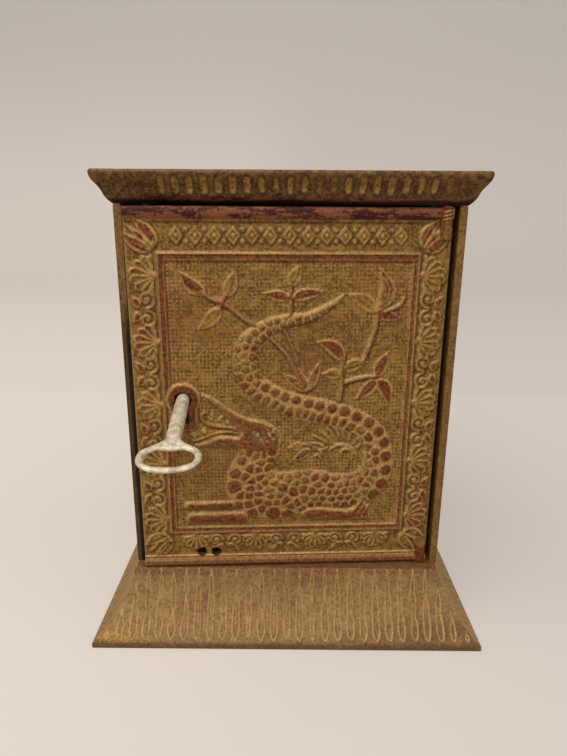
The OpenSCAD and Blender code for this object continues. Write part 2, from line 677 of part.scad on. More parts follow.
// Latch: a hub with a tongue that hangs down at rest, turned by the key's bit in the hub's slot
module latch() {
    front = tongue_y - door_mid_y;
    collar_front = door_t / 2 + end_gap;
    color(dark_iron) at_keyhole() difference() {
        union() {
            translate([0, front, 0]) rotate([-90, 0, 0]) cylinder(r = hub_r, h = tongue_t);
            translate([-tongue_w / 2, front, -tongue_r]) cube([tongue_w, tongue_t, tongue_r]);
            difference() {
                translate([0, front, 0]) rotate([-90, 0, 0])
                    cylinder(r = hub_r, h = door_t / 2 + bridge_rise - end_gap - front);
                translate([0, front, 0]) rotate([-90, 0, 0])
                    cylinder(r = hub_slot_r + slide, h = bridge_rise);
            }
            translate([0, collar_front, 0]) rotate([-90, 0, 0])
                cylinder(r = collar_r, h = bridge_rise + bridge_t + slide);
        }
        translate([0, collar_front - cut, 0]) rotate([-90, 0, 0])
            cylinder(r = hub_bore_r, h = bridge_rise + bridge_t + 2 * cut);
        translate([0, collar_front - cut, -hub_slot_w / 2])
            cube([hub_slot_r, bridge_rise + bridge_t + 2 * cut, hub_slot_w]);
    }
}

// Leaf spring: a bent strip clamped under the bridge's upper foot, rubbing on the hub's rim
module leaf_spring() {
    tab_h = upper_foot_z + foot_h - leaf_z;
    reach = tongue_y + tongue_t - door_back_y;
    color(steel) at_keyhole() difference() {
        union() {
            translate([-leaf_w / 2, door_t / 2, leaf_z]) cube([leaf_w, leaf_t, tab_h]);
            translate([-leaf_w / 2, door_t / 2, leaf_z]) cube([leaf_w, reach, leaf_t]);
        }
        translate([0, door_t / 2 - cut, upper_foot_z + foot_h / 2]) rotate([-90, 0, 0])
            cylinder(d = lock_screw_d + 2 * seat, h = leaf_t + 2 * cut);
    }
}

// Points of an oval of half width a and half length b, a little squarer than an ellipse
function oval(a, b, n = 48) = [for (i = [0:n - 1]) let (t = 360 * i / n)
    [a * sign(cos(t)) * pow(abs(cos(t)), 0.9), b * sign(sin(t)) * pow(abs(sin(t)), 0.9)]];

// Key: an oval bow with a dip, a round shank with a shoulder, and a flat bit
module key() {
    half = bow_l / 2;
    color(pale_metal) at_keyhole() rotate([key_droop, 0, 0]) {
        translate([0, -shank_out, 0]) rotate([-90, 0, 0])
            cylinder(d = shank_d, h = shank_out + bit_start + bit_l);
        translate([0, bit_start + bit_l - cut, 0]) rotate([-90, 0, 0])
            cylinder(d = key_tip_d, h = key_in - bit_start - bit_l + cut);
        translate([0, bit_start, -bit_t / 2]) cube([bit_r, bit_l, bit_t]);
        translate([0, 0, -bow_t / 2]) linear_extrude(bow_t) {
            difference() {
                translate([0, bow_y]) polygon(oval(bow_w / 2, half));
                translate([0, bow_y]) polygon(oval(bow_w / 2 - bow_band, half - bow_band));
            }
            neck = bow_y + half - bow_band;
            wing = 0.27 * bow_w;
            polygon([[-shoulder_w / 2, -shank_out], [shoulder_w / 2, -shank_out], [wing, neck + bow_band / 2],
                [wing / 2, neck], [0, neck - bow_band / 3], [-wing / 2, neck], [-wing, neck + bow_band / 2]]);
        }
    }
}

base();
left_wall();
right_wall();
back_wall();
cap();
tie_screws();
door();
upper_hinge_pin();
lower_hinge_pin();
lock_bridge();
latch();
leaf_spring();
lock_screws();
key();
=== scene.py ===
import math

import bpy
import numpy as np
from mathutils import Matrix, Vector
from mathutils.geometry import tessellate_polygon


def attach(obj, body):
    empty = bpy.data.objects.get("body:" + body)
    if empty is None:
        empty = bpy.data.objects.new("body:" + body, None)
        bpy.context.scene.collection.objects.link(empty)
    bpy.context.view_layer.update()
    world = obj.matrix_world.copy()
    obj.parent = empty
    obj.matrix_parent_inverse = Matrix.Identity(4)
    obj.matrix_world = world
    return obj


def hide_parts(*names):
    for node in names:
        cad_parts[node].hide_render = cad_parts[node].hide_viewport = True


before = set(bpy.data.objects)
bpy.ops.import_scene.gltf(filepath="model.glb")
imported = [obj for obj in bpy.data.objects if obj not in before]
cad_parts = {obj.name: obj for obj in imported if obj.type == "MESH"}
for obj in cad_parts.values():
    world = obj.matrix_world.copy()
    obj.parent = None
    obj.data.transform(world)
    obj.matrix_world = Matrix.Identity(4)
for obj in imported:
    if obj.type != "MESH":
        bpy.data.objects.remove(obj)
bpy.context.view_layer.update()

# Sizes in millimetres, as in the part's source. The door's places are those of the closed door.
MM = 0.001
BASE_HALF = 58.5
FLUTE_PITCH = 3.9
FLUTE_HALF = 0.95
DECK_HALF = 47.1
DECK_Z = 20.4
DECK_T = 3.0
LIP_Z = 2.0
SLOPE_SAG = 2.2
SKIRT_T = 3.0
BODY_HALF = (47.1, 43.1)
WALL_T = 2.1
CAP_Z = 128.6
CAP_H = 8.4
CAP_OVER = 4.5
CAP_RIM = 3.4
CAP_PLATE = 2.2
SLOT_HALF = (18.0, 2.4)
SLOT_BORDER = 2.4
TONGUE_PITCH = 3.72
TONGUE_HALF = 0.95
TONGUE_Z = (CAP_Z + 2.6, CAP_Z + 6.9)
BOSS_AT = (40.6, 33.1)
BOSS_R = 3.2
DOOR_X = (-44.05, 43.75)
DOOR_Z = (20.9, 128.1)
DOOR_FRONT_Y = -43.1
DOOR_T = 3.0
RELIEF = 0.9
HINGE = (41.85, -41.6)
DOOR_AJAR = math.radians(3)
LUG_R = 1.9
LUG_H = 9.0
LUG_PAST = 0.4
FRAME_X = (-35.85, 35.55)
FRAME_Z = (31.9, 116.3)
FRAME_W = 2.3
LOW_BEAD_Z = 23.4
TOP_BEAD_Z = 124.9
FRIEZE_Z = 120.5
BORDER_PERIOD = 18.3
GROUND_PITCH = 1.08
CORNER_LEAVES = (((-36.2, 117.2), (-43.2, 123.4)), ((35.9, 117.2), (42, 123.6)),
                 ((-36, 30.9), (-42.6, 25.8)), ((35.6, 30.9), (42, 26)))
KEYHOLE = (-30.25, 75.1)
KEYHOLE_R = 2.45
KEYHOLE_SLOT = (1.6, 7.2)
KEYHOLE_RIM = 1.8
KEY_DROOP = math.radians(8.5)
DRILLS = ((-26.45, 25.5), (-22.05, 25.5))
DRILL_R = 1.35
WALL_FRAME = 8.0
PANEL_SINK = 0.45
PANEL_BEAD = 1.6
PANEL_GAP = 0.5
FACE_PROUD = 0.04
# The grids of the reliefs
PITCH = 0.25
WALL_PITCH = 0.45
CAP_COLUMNS = 300
SLOPE_COLUMNS = 400
# The floor, and the curve by which it turns up into the backdrop
FLOOR_HALF = 3000
FLOOR_NEAR = -1600
BEND_Y = 800
BEND_R = 600
BACKDROP_Z = (1400, 2600)
# How much brighter the floor and the surround look than what they give off as light on the object
FLOOR_GLOW = 1.0
SURROUND_GLOW = 0.16
SURROUND_LIGHT = 0.42
# An outline attribute holds this and the distance from a line in millimetres, so that 0 is far from any line
OUTLINE_ZERO = 20.0


# Numbers and noise

def step(a, b, x):
    """0 below a, 1 above b, and smooth between them."""
    t = np.clip((x - a) / (b - a), 0, 1)
    return t * t * (3 - 2 * t)


def value_noise(x, y, cell, seed):
    """Smooth noise from 0 to 1 whose lumps are about one cell wide."""
    table = np.random.default_rng(seed).random((64, 64))
    gx, gy = np.asarray(x) / cell, np.asarray(y) / cell
    ix, iy = np.floor(gx).astype(int), np.floor(gy).astype(int)
    fx, fy = step(0, 1, gx - ix), step(0, 1, gy - iy)
    a, b = table[iy % 64, ix % 64], table[iy % 64, (ix + 1) % 64]
    c, d = table[(iy + 1) % 64, ix % 64], table[(iy + 1) % 64, (ix + 1) % 64]
    return (a * (1 - fx) + b * fx) * (1 - fy) + (c * (1 - fx) + d * fx) * fy


def rough(x, y, cell, seed, octaves=3):
    """Layered noise round 0, from about -1 to 1."""
    layers = [(value_noise(x, y, cell / 2 ** k, seed + k) - 0.5) / 2 ** k for k in range(octaves)]
    return 2 * sum(layers) / sum(1 / 2 ** k for k in range(octaves))


def rounded(t, power=2):
    """A round-topped profile: 1 at 0, and 0 from 1 on."""
    return np.sqrt(np.clip(1 - t ** power, 0, 1))


def ridge(t, width):
    """A soft line along 0."""
    return np.exp(-(t / width) ** 2)


def blur(h, sigma):
    """A Gaussian blur of an array, sigma in cells."""
    reach = int(math.ceil(2.5 * sigma))
    weights = np.exp(-0.5 * (np.arange(-reach, reach + 1) / sigma) ** 2)
    weights /= weights.sum()
    for axis in (0, 1):
        pad = [(reach, reach) if k == axis else (0, 0) for k in (0, 1)]
        wide = np.pad(h, pad, mode="edge")
        n = h.shape[axis]
        h = sum(w * np.take(wide, np.arange(k, k + n), axis=axis) for k, w in enumerate(weights))
    return h


def smooth_points(points, steps):
    """Points along a smooth curve through the given ones."""
    p = np.array(points, float)
    out = []
    for i in range(len(p) - 1):
        a, b, c, d = p[max(i - 1, 0)], p[i], p[i + 1], p[min(i + 2, len(p) - 1)]
        for k in range(steps):
            t = k / steps
            out.append(b + t / 2 * (c - a) + t * t / 2 * (2 * a - 5 * b + 4 * c - d)
                       + t ** 3 / 2 * (3 * b - a - 3 * c + d))
    return np.array(out + [p[-1]])


# The relief is drawn as a height map in X and Z

class Canvas:
    """Heights over the ground, and at each place how far the paint is worn off, less where a painted
    highlight lies, how bright its gold is, how pale it is with worn edges and painted highlight, how black it
    is and whether it is bare stippled field."""

    def __init__(self, x_range, z_range, pitch):
        nx = int(round((x_range[1] - x_range[0]) / pitch)) + 1
        nz = int(round((z_range[1] - z_range[0]) / pitch)) + 1
        self.xs = np.linspace(*x_range, nx)
        self.zs = np.linspace(*z_range, nz)
        self.x, self.z = np.meshgrid(self.xs, self.zs)
        self.h, self.worn, self.gilt, self.pale, self.soot, self.field = np.zeros((6, nz, nx))

    def window(self, x0, x1, z0, z1):
        """The slices that cover a rectangle, and X and Z in it."""
        i = slice(max(np.searchsorted(self.xs, x0) - 1, 0), np.searchsorted(self.xs, x1) + 1)
        k = slice(max(np.searchsorted(self.zs, z0) - 1, 0), np.searchsorted(self.zs, z1) + 1)
        return (k, i), self.x[k, i], self.z[k, i]

    def around(self, x, z, reach):
        """The same for a square round a point."""
        return self.window(x - reach, x + reach, z - reach, z + reach)

    def raise_to(self, w, height, worn=0.0, gilt=0.0, pale=0.0):
        """Lifts the surface to a height where it is lower; the look given goes with what was lifted."""
        lifted = height > self.h[w]
        layers = (self.h, self.worn, self.gilt, self.pale, self.field)
        for layer, value in zip(layers, (height, worn, gilt, pale, 0)):
            layer[w] = np.where(lifted, value, layer[w])


def along_ribbon(canvas, points, steps=5):
    """For a ribbon of [x, z, half width] points: its window, and there the distance to its line as a share of
    the half width, and the half width."""
    p = smooth_points(points, steps)
    reach = p[:, 2].max() + 1
    low, high = p[:, :2].min(axis=0) - reach, p[:, :2].max(axis=0) + reach
    w, x, z = canvas.window(low[0], high[0], low[1], high[1])
    best, share, half = np.full((3,) + x.shape, 1e9)
    for a, b in zip(p[:-1], p[1:]):
        dx, dz, dhalf = b - a
        t = np.clip(((x - a[0]) * dx + (z - a[1]) * dz) / math.hypot(dx, dz) ** 2, 0, 1)
        dist = np.hypot(x - a[0] - t * dx, z - a[1] - t * dz)
        wide = a[2] + t * dhalf
        closer = dist - wide < best
        best = np.where(closer, dist - wide, best)
        share = np.where(closer, dist / wide, share)
        half = np.where(closer, wide, half)
    return w, share, half


def cord_relief(canvas, points, height, worn=0.3, pale=0.0):
    """A raised, rounded ribbon."""
    w, share, _ = along_ribbon(canvas, points)
    canvas.raise_to(w, height * rounded(share), worn, 0.0, pale)


def polygon_depth(x, z, points):
    """Distance to a polygon's outline, positive inside."""
    p = np.array(points, float)
    best = np.full(x.shape, 1e9)
    inside = np.zeros(x.shape, bool)
    for a, b in zip(p, np.roll(p, -1, axis=0)):
        d = b - a
        t = np.clip(((x - a[0]) * d[0] + (z - a[1]) * d[1]) / (d @ d), 0, 1)
        best = np.minimum(best, np.hypot(x - a[0] - t * d[0], z - a[1] - t * d[1]))
        crosses = ((a[1] > z) != (b[1] > z)) & (x < a[0] + (z - a[1]) * d[0] / (d[1] if d[1] else 1e-9))
        inside ^= crosses
    return np.where(inside, best, -best)


def rounded_step(depth, edge):
    """A quarter-round rise over the given distance from an outline."""
    t = np.clip(depth / edge, 0, 1)
    return np.sqrt(1 - (1 - t) ** 2)


def leaf_relief(canvas, base, tip, half, height=0.66, bend=0.0, cup=0.6, worn=0.8, pale=0.0):
    """A cupped, pointed leaf with a raised, paler rim and a low midrib; worn and pale tell of its cup."""
    base, tip = np.array(base, float), np.array(tip, float)
    length = np.linalg.norm(tip - base)
    along = (tip - base) / length
    reach = half + abs(bend) + 1
    lo, hi = np.minimum(base, tip) - reach, np.maximum(base, tip) + reach
    w, x, z = canvas.window(lo[0], hi[0], lo[1], hi[1])
    dx, dz = x - base[0], z - base[1]
    u = (dx * along[0] + dz * along[1]) / length
    v = dz * along[0] - dx * along[1] - bend * np.sin(np.pi * np.clip(u, 0, 1))
    wide = half * np.sin(np.pi * np.clip(u, 1e-4, 1 - 1e-4) ** 0.7) + 0.02
    share = np.where((u > 0) & (u < 1), np.abs(v) / wide, 9)
    rim = height * rounded(share, 4)
    inside = step(0.95, 0.45, share)
    bowl = cup * height * inside * step(0.0, 0.2, u) * step(1.0, 0.85, u)
    rib = 0.35 * cup * height * ridge(v, 0.22) * step(0.95, 0.6, u)
    canvas.raise_to(w, rim - bowl + rib * (share < 1), 0.2 + (worn - 0.2) * inside, 0.4 * inside,
                    1.0 + (pale - 1.0) * inside)


def spiral_relief(canvas, centre, radius, turns, start, hand):
    """A scroll that winds in to its eye."""
    height, half, worn = 0.55, 0.42, 0.45
    t = np.linspace(0, 1, 19)
    angle = math.radians(start) + hand * 2 * math.pi * turns * t
    r = radius * (1 - 0.82 * t)
    points = [centre[0] + r * np.cos(angle), centre[1] + r * np.sin(angle), half * (1 - 0.3 * t)]
    cord_relief(canvas, np.transpose(points), height, worn)
    w, x, z = canvas.around(*centre, 1)
    away = np.hypot(x - centre[0], z - centre[1])
    canvas.raise_to(w, 0.9 * height * rounded(away / math.sqrt(0.5)), worn)


def palmette_relief(canvas, root, angle, length=6.9):
    """A fan of seven petals with raised edges that opens from its root at an angle, over a small heart."""
    w, x, z = canvas.around(*root, length + 1)
    dx, dz = x - root[0], z - root[1]
    r = np.hypot(dx, dz)
    a = (np.degrees(np.arctan2(dz, dx)) - angle + 180) % 360 - 180
    petal = 24.0
    from_rib = np.abs(a / petal - np.round(a / petal))
    tip = length * (0.84 + 0.16 * np.sin(np.pi * from_rib)) * (1 - 0.06 * np.abs(a) / petal)
    inside = (np.abs(a) < 3.5 * petal) & (r > 0.7)
    rib = ridge(r * np.sin(np.radians(from_rib * petal)), 0.2)
    side = ridge(r * np.sin(np.radians(np.abs(a) - 3.45 * petal)), 0.24)
    edge = np.maximum(ridge(r - tip, 0.24), np.maximum(rib, side) * (r < tip))
    height = np.where(inside & (r < tip + 0.6), 0.26 * (r < tip) + 0.32 * edge, 0)
    canvas.raise_to(w, height, 0.55 - 0.45 * edge, 0.3, 0.6 * edge)
    canvas.raise_to(w, 0.66 * rounded(r / math.sqrt(1.3)), 0.5, 0.0, 0.2)


def measured(points, steps):
    """A smooth line through the points, and how far along it each of its own points lies."""
    line = smooth_points(points, steps)
    return line, np.concatenate([[0], np.cumsum(np.hypot(*np.diff(line[:, :2], axis=0).T))])


def heading(line, runs, run):
    """The step that a measured line takes at a place along it."""
    i = min(max(np.searchsorted(runs, run), 1), len(line) - 1)
    return line[i, :2] - line[i - 1, :2]


def scale_seeds(points):
    """Middles and radii of a ribbon's scales: the large discs, and small ones in rows where there is room."""
    line, runs = measured(points, 5)
    random = np.random.default_rng(7)
    seeds = [list(disc) for disc in DISCS]
    spacing, row = 2.3, 2.2
    for k, run in enumerate(np.arange(3.0, runs[-1], spacing / 2)):
        x, z, half = (np.interp(run, runs, line[:, i]) for i in range(3))
        ahead = heading(line, runs, run)
        ahead /= np.hypot(*ahead)
        for r, v in enumerate(np.arange(half - 0.35 * row - 0.35, 0.35 - half, -row)):
            shift = random.uniform(-0.35, 0.35, 2)
            if (r + k) % 2:
                continue
            seed = [x - ahead[1] * v + shift[0], z + ahead[0] * v + shift[1], min(1.0, 0.5 * half)]
            room = [math.hypot(seed[0] - o[0], seed[1] - o[1]) - o[2] for o in seeds]
            if min(room) > (0.75 if half < 3.2 else 0.95):
                seeds.append(seed)
    return seeds


def scales_relief(x, z, seeds):
    """Depth inside the nearest scale in millimetres, less than 0 in the net between them, and its number."""
    first, second = np.full(x.shape, 1e9), np.full(x.shape, 1e9)
    index = np.zeros(x.shape, int)
    for i, (sx, sz, radius) in enumerate(seeds):
        d = np.hypot(x - sx, z - sz) - radius
        closer = d < first
        second = np.where(closer, first, np.minimum(second, d))
        index = np.where(closer, i, index)
        first = np.where(closer, d, first)
    limit = np.where(index < len(DISCS), 0.22, 0.8)
    return np.minimum((second - first) / 2 - 0.17, limit - first), index


# The picture on the door, in X and Z of the closed door. A ribbon's points are [x, z, half width].
DRAGON = [[15, 105, 0.3], [11, 101.9, 0.9], [5.2, 98.7, 1.5], [0.2, 98, 1.8], [-4.6, 96.5, 2.3],
          [-9, 94, 2.7], [-12.1, 90.8, 3], [-12.7, 86.5, 3.4], [-11.4, 81.6, 3.5], [-6.9, 77, 3.6],
          [-0.3, 73.5, 3.7], [6.5, 71.8, 3.9], [13.5, 70, 3.9], [20, 67.3, 4], [25, 63, 4.2],
          [27, 57.7, 4.1], [26.5, 52.3, 4.8], [22.8, 47.2, 5.5], [14.5, 45.6, 5.6], [7, 46.5, 6.4],
          [0, 44.8, 7.4], [-6, 44.6, 8], [-10.2, 46.6, 8.1], [-11.2, 51, 6.8], [-10, 55.5, 5.6],
          [-8.6, 60, 6.2]]
# The large round scales along the back and the breast: their middles and radii
DISCS = [(-6.8, 78.6, 1.2), (-4, 77.2, 1.2), (-1.2, 75.8, 1.25), (2.1, 75, 1.3), (5.7, 73.8, 1.35),
         (8.8, 73, 1.35), (12.5, 72.2, 1.4), (16.2, 71.3, 1.45), (19.8, 69.6, 1.45), (23.5, 67.6, 1.5),
         (26.5, 64.9, 1.5), (28.4, 61.4, 1.55), (29, 56.9, 1.6), (29.3, 52.5, 1.6), (28.3, 47.9, 1.7),
         (26, 44.4, 1.7), (0, 37.9, 1.75), (-4.5, 38.5, 2.1), (-16.2, 47.6, 2.1), (-15.9, 52, 1.6),
         (-13.9, 56.1, 1.3)]
HEAD = [[-25, 77.2], [-21.5, 75.7], [-18, 73], [-15, 71], [-12, 69.5], [-9, 68.9], [-6, 68.1], [-3.6, 66.6],
        [-2.2, 64.5], [-1.9, 61.5], [-3, 58.8], [-7, 58.2], [-11, 58.6], [-15.2, 59.8], [-20, 60.1],
        [-27, 60.3], [-28, 61.2], [-25, 62], [-22.8, 63], [-20.5, 64], [-18, 63.9], [-15, 63.6],
        [-13.9, 65], [-15.3, 66.3], [-17.5, 68.8], [-20.8, 72.5], [-23.3, 74.3], [-25.4, 76]]
EYE = [[-11.3, 65.7], [-10, 65.8], [-8.6, 65.4], [-7.5, 64.2], [-7.1, 61.9], [-8.6, 62.1], [-9.8, 62.8],
       [-10.8, 64.2]]
PUPIL = (-9.0, 64.0)
TONGUE = [[-15.2, 65.6, 0.4], [-17, 66.3, 0.55], [-20, 66.6, 0.6], [-22.8, 67.2, 0.65], [-24.6, 68.4, 0.65],
          [-25.1, 69.8, 0.6], [-24.5, 70.9, 0.5], [-23.6, 70.9, 0.35]]
LOWER_LIP = [[-14.6, 64.6, 0.3], [-18, 65, 0.35], [-22, 64.4, 0.35], [-25.5, 62.9, 0.35], [-28, 62.3, 0.3]]
# Small flames over the tongue, each its root and its tip
FLAMES = [[[-22.6, 68.6], [-22, 71.2]], [[-20.4, 68.2], [-19, 70.2]], [[-24, 64.6], [-25.4, 66.4]],
          [[-27, 63.4], [-28.4, 65.6]], [[-18.2, 67.6], [-17.4, 68.6]]]
LEGS = [[[-30.1, 41.3, 1.35], [-17, 41.4, 1.4]], [[-29, 37, 1.9], [-14, 37.2, 1.9]]]
HIND_LEG = [[3.5, 38.5], [6, 40.3], [12, 40.3], [18, 39.3], [20, 40.3], [22.8, 43], [25, 40], [25.3, 35.6],
            [20, 35.6], [8, 35.7], [4, 36.8]]
CLAWS = [[[19.8, 38.6, 0.4], [22.6, 42.6, 0.35]], [[21.4, 37.8, 0.4], [23.6, 41.8, 0.35]],
         [[22.8, 37, 0.4], [24.6, 40.8, 0.35]]]
STEMS = [[[-9.5, 96.4, 0.5], [-13, 98.6, 0.6], [-16, 101.2, 0.7], [-18.5, 102.6, 0.8], [-21.6, 103.9, 0.5],
          [-23.4, 105.4, 0.4]],
         [[-18.3, 102.6, 0.5], [-17.8, 105, 0.4]], [[-18.9, 102, 0.4], [-19.6, 101, 0.4]],
         [[-5, 92.7, 0.5], [-1.5, 89, 0.6], [1, 85, 0.6], [4.8, 77.2, 0.5]],
         [[14.6, 74.5, 0.7], [15.2, 79, 0.6], [15, 83, 0.6], [15.6, 86.8, 0.5]],
         [[15.4, 79.6, 0.6], [20.5, 81, 0.6], [25.4, 81.6, 0.5]],
         [[20.8, 85.6, 0.5], [22.8, 91, 0.6], [24.2, 96, 0.6], [24.6, 100.4, 0.5]],
         [[24.4, 99.6, 0.5], [28.6, 100.9, 0.5], [30.8, 102.2, 0.45], [31.8, 104, 0.35]],
         [[0.3, 99.6, 0.5], [0.3, 107.6, 0.4]],
         [[4.6, 60.9, 0.4], [7.4, 59.9, 0.4], [10.2, 57.2, 0.3]],
         [[-1.4, 95.2, 0.3], [0.8, 90.4, 0.35], [2.6, 85.4, 0.3]]]
# Each leaf is its base, its tip, its half width, how far it bows to its left and how worn its cup is
LEAVES = [[[-23, 105], [-30.2, 111.4], 2.0, 0.5, 0.67], [[-17.6, 104.4], [-15, 111.4], 2.0, -0.3, 0.47],
          [[-19, 101.2], [-25.6, 95.2], 2.0, 0.4, 0.42], [[4.9, 77.2], [-2, 82.6], 1.5, -0.2, 0.52],
          [[5.4, 77.2], [2.6, 84.4], 1.4, 0.2, 0.47], [[6, 77.6], [9, 86.4], 1.4, 0.2, 0.62],
          [[15, 82.3], [9.2, 82.4], 1.5, 0, 0.52], [[15.6, 86.4], [7.4, 91.8], 2.2, -1.4, 0.72],
          [[15.4, 83.6], [22.5, 85.8], 1.8, 0.4, 0.52], [[24.8, 81.6], [28, 88.6], 2.0, 0, 0.80],
          [[25.6, 80.9], [29, 73], 2.2, 0.9, 0.72], [[25, 80.6], [19.2, 74.6], 2.0, 0.4, 0.72],
          [[24.2, 100.2], [16, 105], 2.1, -0.8, 0.42], [[24.9, 100.4], [24.4, 112.4], 2.6, -2.2, 0.47],
          [[25.2, 99.2], [31, 98.4], 1.5, 0.2, 0.80], [[-0.2, 107.4], [3, 113.3], 1.8, -0.2, 0.37],
          [[0, 104.4], [-7.4, 105.4], 1.6, 0.2, 0.77], [[0.6, 104.2], [9.8, 105.9], 1.7, 0.2, 0.62],
          [[4.6, 61], [-0.5, 59.6], 1.35, 0.3, 0.42], [[6.6, 59.4], [1.2, 55.8], 1.4, 0.2, 0.62],
          [[24.8, 101.6], [24.5, 110.6], 1.3, -1.8, 0.45]]
# Inside the coil: arcs, each a middle, a radius, where it starts and how far it runs in degrees, and a fan of
# strokes round one point, each an angle, where it starts and where it ends
ARCS = [((15.8, 56.6), 4.4, 5, 140), ((17.2, 57.4), 2.0, 0, 160), ((15.8, 56), 7.2, -40, 60),
        ((11.6, 57.4), 2.4, 95, 120)]
FAN_FOOT = (14.2, 57.2)
FAN = [(172, 4.4, 6.6), (155, 4.6, 7.6), (140, 5, 8.8), (126, 5.6, 9.8), (112, 6.2, 9.8), (98, 6.4, 9.6),
       (84, 6.4, 9.2), (70, 6.2, 8.6), (54, 6.4, 8.6), (38, 6.6, 8.8), (22, 6.8, 8.8)]


def draw_mouldings(c):
    """The beads along the top and the bottom edge, and the frame round the picture."""
    def bead(z0, z1, height, worn, pale):
        w, _, z = c.window(*DOOR_X, z0, z1)
        t = np.clip((z - z0) / (z1 - z0), 0, 1)
        c.raise_to(w, height * np.clip(4 * t * (1 - t), 0, 1) ** 0.35, worn, 0, pale)

    bead(DOOR_Z[0] - 0.3, LOW_BEAD_Z, 0.84, 0.85, 0.2)
    w, _, z = c.window(*DOOR_X, LOW_BEAD_Z, LOW_BEAD_Z + 2)
    c.raise_to(w, 0.5 * rounded((z - LOW_BEAD_Z - 0.65) / 0.35), 0.1, 0.3, 0.4)
    bead(TOP_BEAD_Z, DOOR_Z[1] + 0.3, RELIEF - 0.02, 0.62, 0)
    w, _, z = c.window(DOOR_X[0], 39, 124, 125)
    c.raise_to(w, 0.45 * ridge(z - TOP_BEAD_Z + 0.3, 0.35), 0.3)
    mid_x, mid_z = sum(FRAME_X) / 2, sum(FRAME_Z) / 2
    depth = np.minimum((FRAME_X[1] - FRAME_X[0]) / 2 - np.abs(c.x - mid_x),
                       (FRAME_Z[1] - FRAME_Z[0]) / 2 - np.abs(c.z - mid_z))
    whole = (slice(None), slice(None))
    c.raise_to(whole, 0.4 * ((depth > 0) & (depth < FRAME_W)), 0.8)
    c.raise_to(whole, 0.78 * rounded((depth - 0.36) / 0.36), 0.35)
    c.raise_to(whole, 0.54 * rounded((depth - 2.0) / 0.3), 0.5)


def draw_ground(c, x_range, z_range):
    """Rows of small bosses on a sunk field."""
    inside = (c.x > x_range[0]) & (c.x < x_range[1]) & (c.z > z_range[0]) & (c.z < z_range[1])
    lean = 0.3 * rough(c.x, c.z, 9, 71)
    cx, cz = (np.sin(np.pi * (v + lean) / GROUND_PITCH) for v in (c.x, c.z))
    uneven = 0.4 + value_noise(c.x, c.z, 1.7, 72)
    boss = (cx * cz) ** 2 * uneven
    c.h += np.where(inside, 0.2 * boss, 0)
    c.gilt += np.where(inside, 0.5 * boss * value_noise(c.x, c.z, 6, 73), 0)
    c.pale += np.where(inside, 1.2 * (cx * cz) ** 4 * uneven * value_noise(c.x, c.z, 9, 74), 0)
    c.field += inside


def draw_dragon(c):
    """The body with its scales, the head, the legs and the foot."""
    w, share, half = along_ribbon(c, DRAGON)
    seeds = scale_seeds(DRAGON)
    depth, index = scales_relief(c.x[w], c.z[w], seeds)
    look = np.random.default_rng(17).uniform(0.4, 0.95, len(seeds))
    look[:len(DISCS)] = 1.1
    swell = rounded(share, 3)
    disc = step(-0.05, 0.2, depth)
    dome = rounded_step(depth + 0.1, 0.8) * (1 + 0.15 * rough(c.x[w], c.z[w], 2.2, 5))
    net = (1 - disc) * step(0.15, 0.5, half)
    rim = step(0.86, 0.97, share)
    worn = disc * look[index] * (1 - 0.3 * step(0.3, 0.9, depth) * (index >= len(DISCS)))
    c.raise_to(w, swell * (0.5 + 0.3 * dome), worn, 0.3 * net, 0.75 * net + 0.25 * rim)
    w, x, z = c.window(-30, 0, 56, 79)
    depth = polygon_depth(x, z, HEAD)
    skull = step(0, 0.8, depth) * (0.76 + 0.05 * rough(x, z, 3, 8))
    mane = step(-8.5, -5, x) * step(60, 62, z)
    curls = rough(x, z, 0.9, 9, 2)
    fleck = mane * (curls > 0.1)
    worn = 0.95 * step(0.3, 0.7, depth) * (1 - 0.8 * fleck)
    pale = 0.1 + 0.5 * step(0.75, 0.35, depth) + 0.65 * fleck
    c.raise_to(w, skull + 0.14 * mane * curls * (depth > 0.4), worn, 0.2, pale)
    eye = polygon_depth(x, z, EYE)
    c.h[w] = np.where(eye > 0, c.h[w] - 0.32 * rounded_step(eye, 0.5), c.h[w])
    c.worn[w] = np.where(eye > -0.2, 0.0, c.worn[w])
    c.pale[w] = np.where(eye > 0.3, 0.5, c.pale[w])
    away = np.hypot(x - PUPIL[0], z - PUPIL[1])
    c.raise_to(w, 0.85 * rounded(away / math.sqrt(0.6)), 0.25, 0.6, 0.5)
    c.soot[w] = 0.55 * np.maximum(ridge(eye - 0.15, 0.25), ridge(away - 0.95, 0.25))
    for points, worn in ((TONGUE, 0.75), (LOWER_LIP, 0.05)):
        cord_relief(c, points, 0.6, worn)
    for root, tip in FLAMES:
        leaf_relief(c, root, tip, 0.7, 0.5, 0, 0.2, 0.0, 0.7)
    w, x, z = c.window(-29, -15, 60, 73)
    mouth = np.hypot((x + 22.5) / 5.5, (z - 66.2) / 4.2)
    c.gilt[w] = np.maximum(c.gilt[w], 0.8 * step(1.1, 0.6, mouth) * (c.worn[w] < 0.3))
    for leg in LEGS:
        w, share, _ = along_ribbon(c, leg, 1)
        bony = 0.76 + 0.06 * rough(c.x[w], c.z[w], 1.8, 10)
        inside = step(0.95, 0.6, share)
        c.raise_to(w, bony * rounded(share, 3), 0.9 * inside, 0.2, 0.6 * (1 - inside))
    w, x, z = c.window(1, 27, 34, 45)
    depth = polygon_depth(x, z, HIND_LEG)
    tendons = 0.07 * np.sin(2.4 * (z - 0.12 * x) * np.pi / 2)
    inside = step(0.3, 0.8, depth)
    c.raise_to(w, step(0, 0.9, depth) * (0.7 + tendons), 0.9 * inside, 0.2, 0.6 * (1 - inside))
    for claw in CLAWS:
        cord_relief(c, claw, 0.87, 0.1)


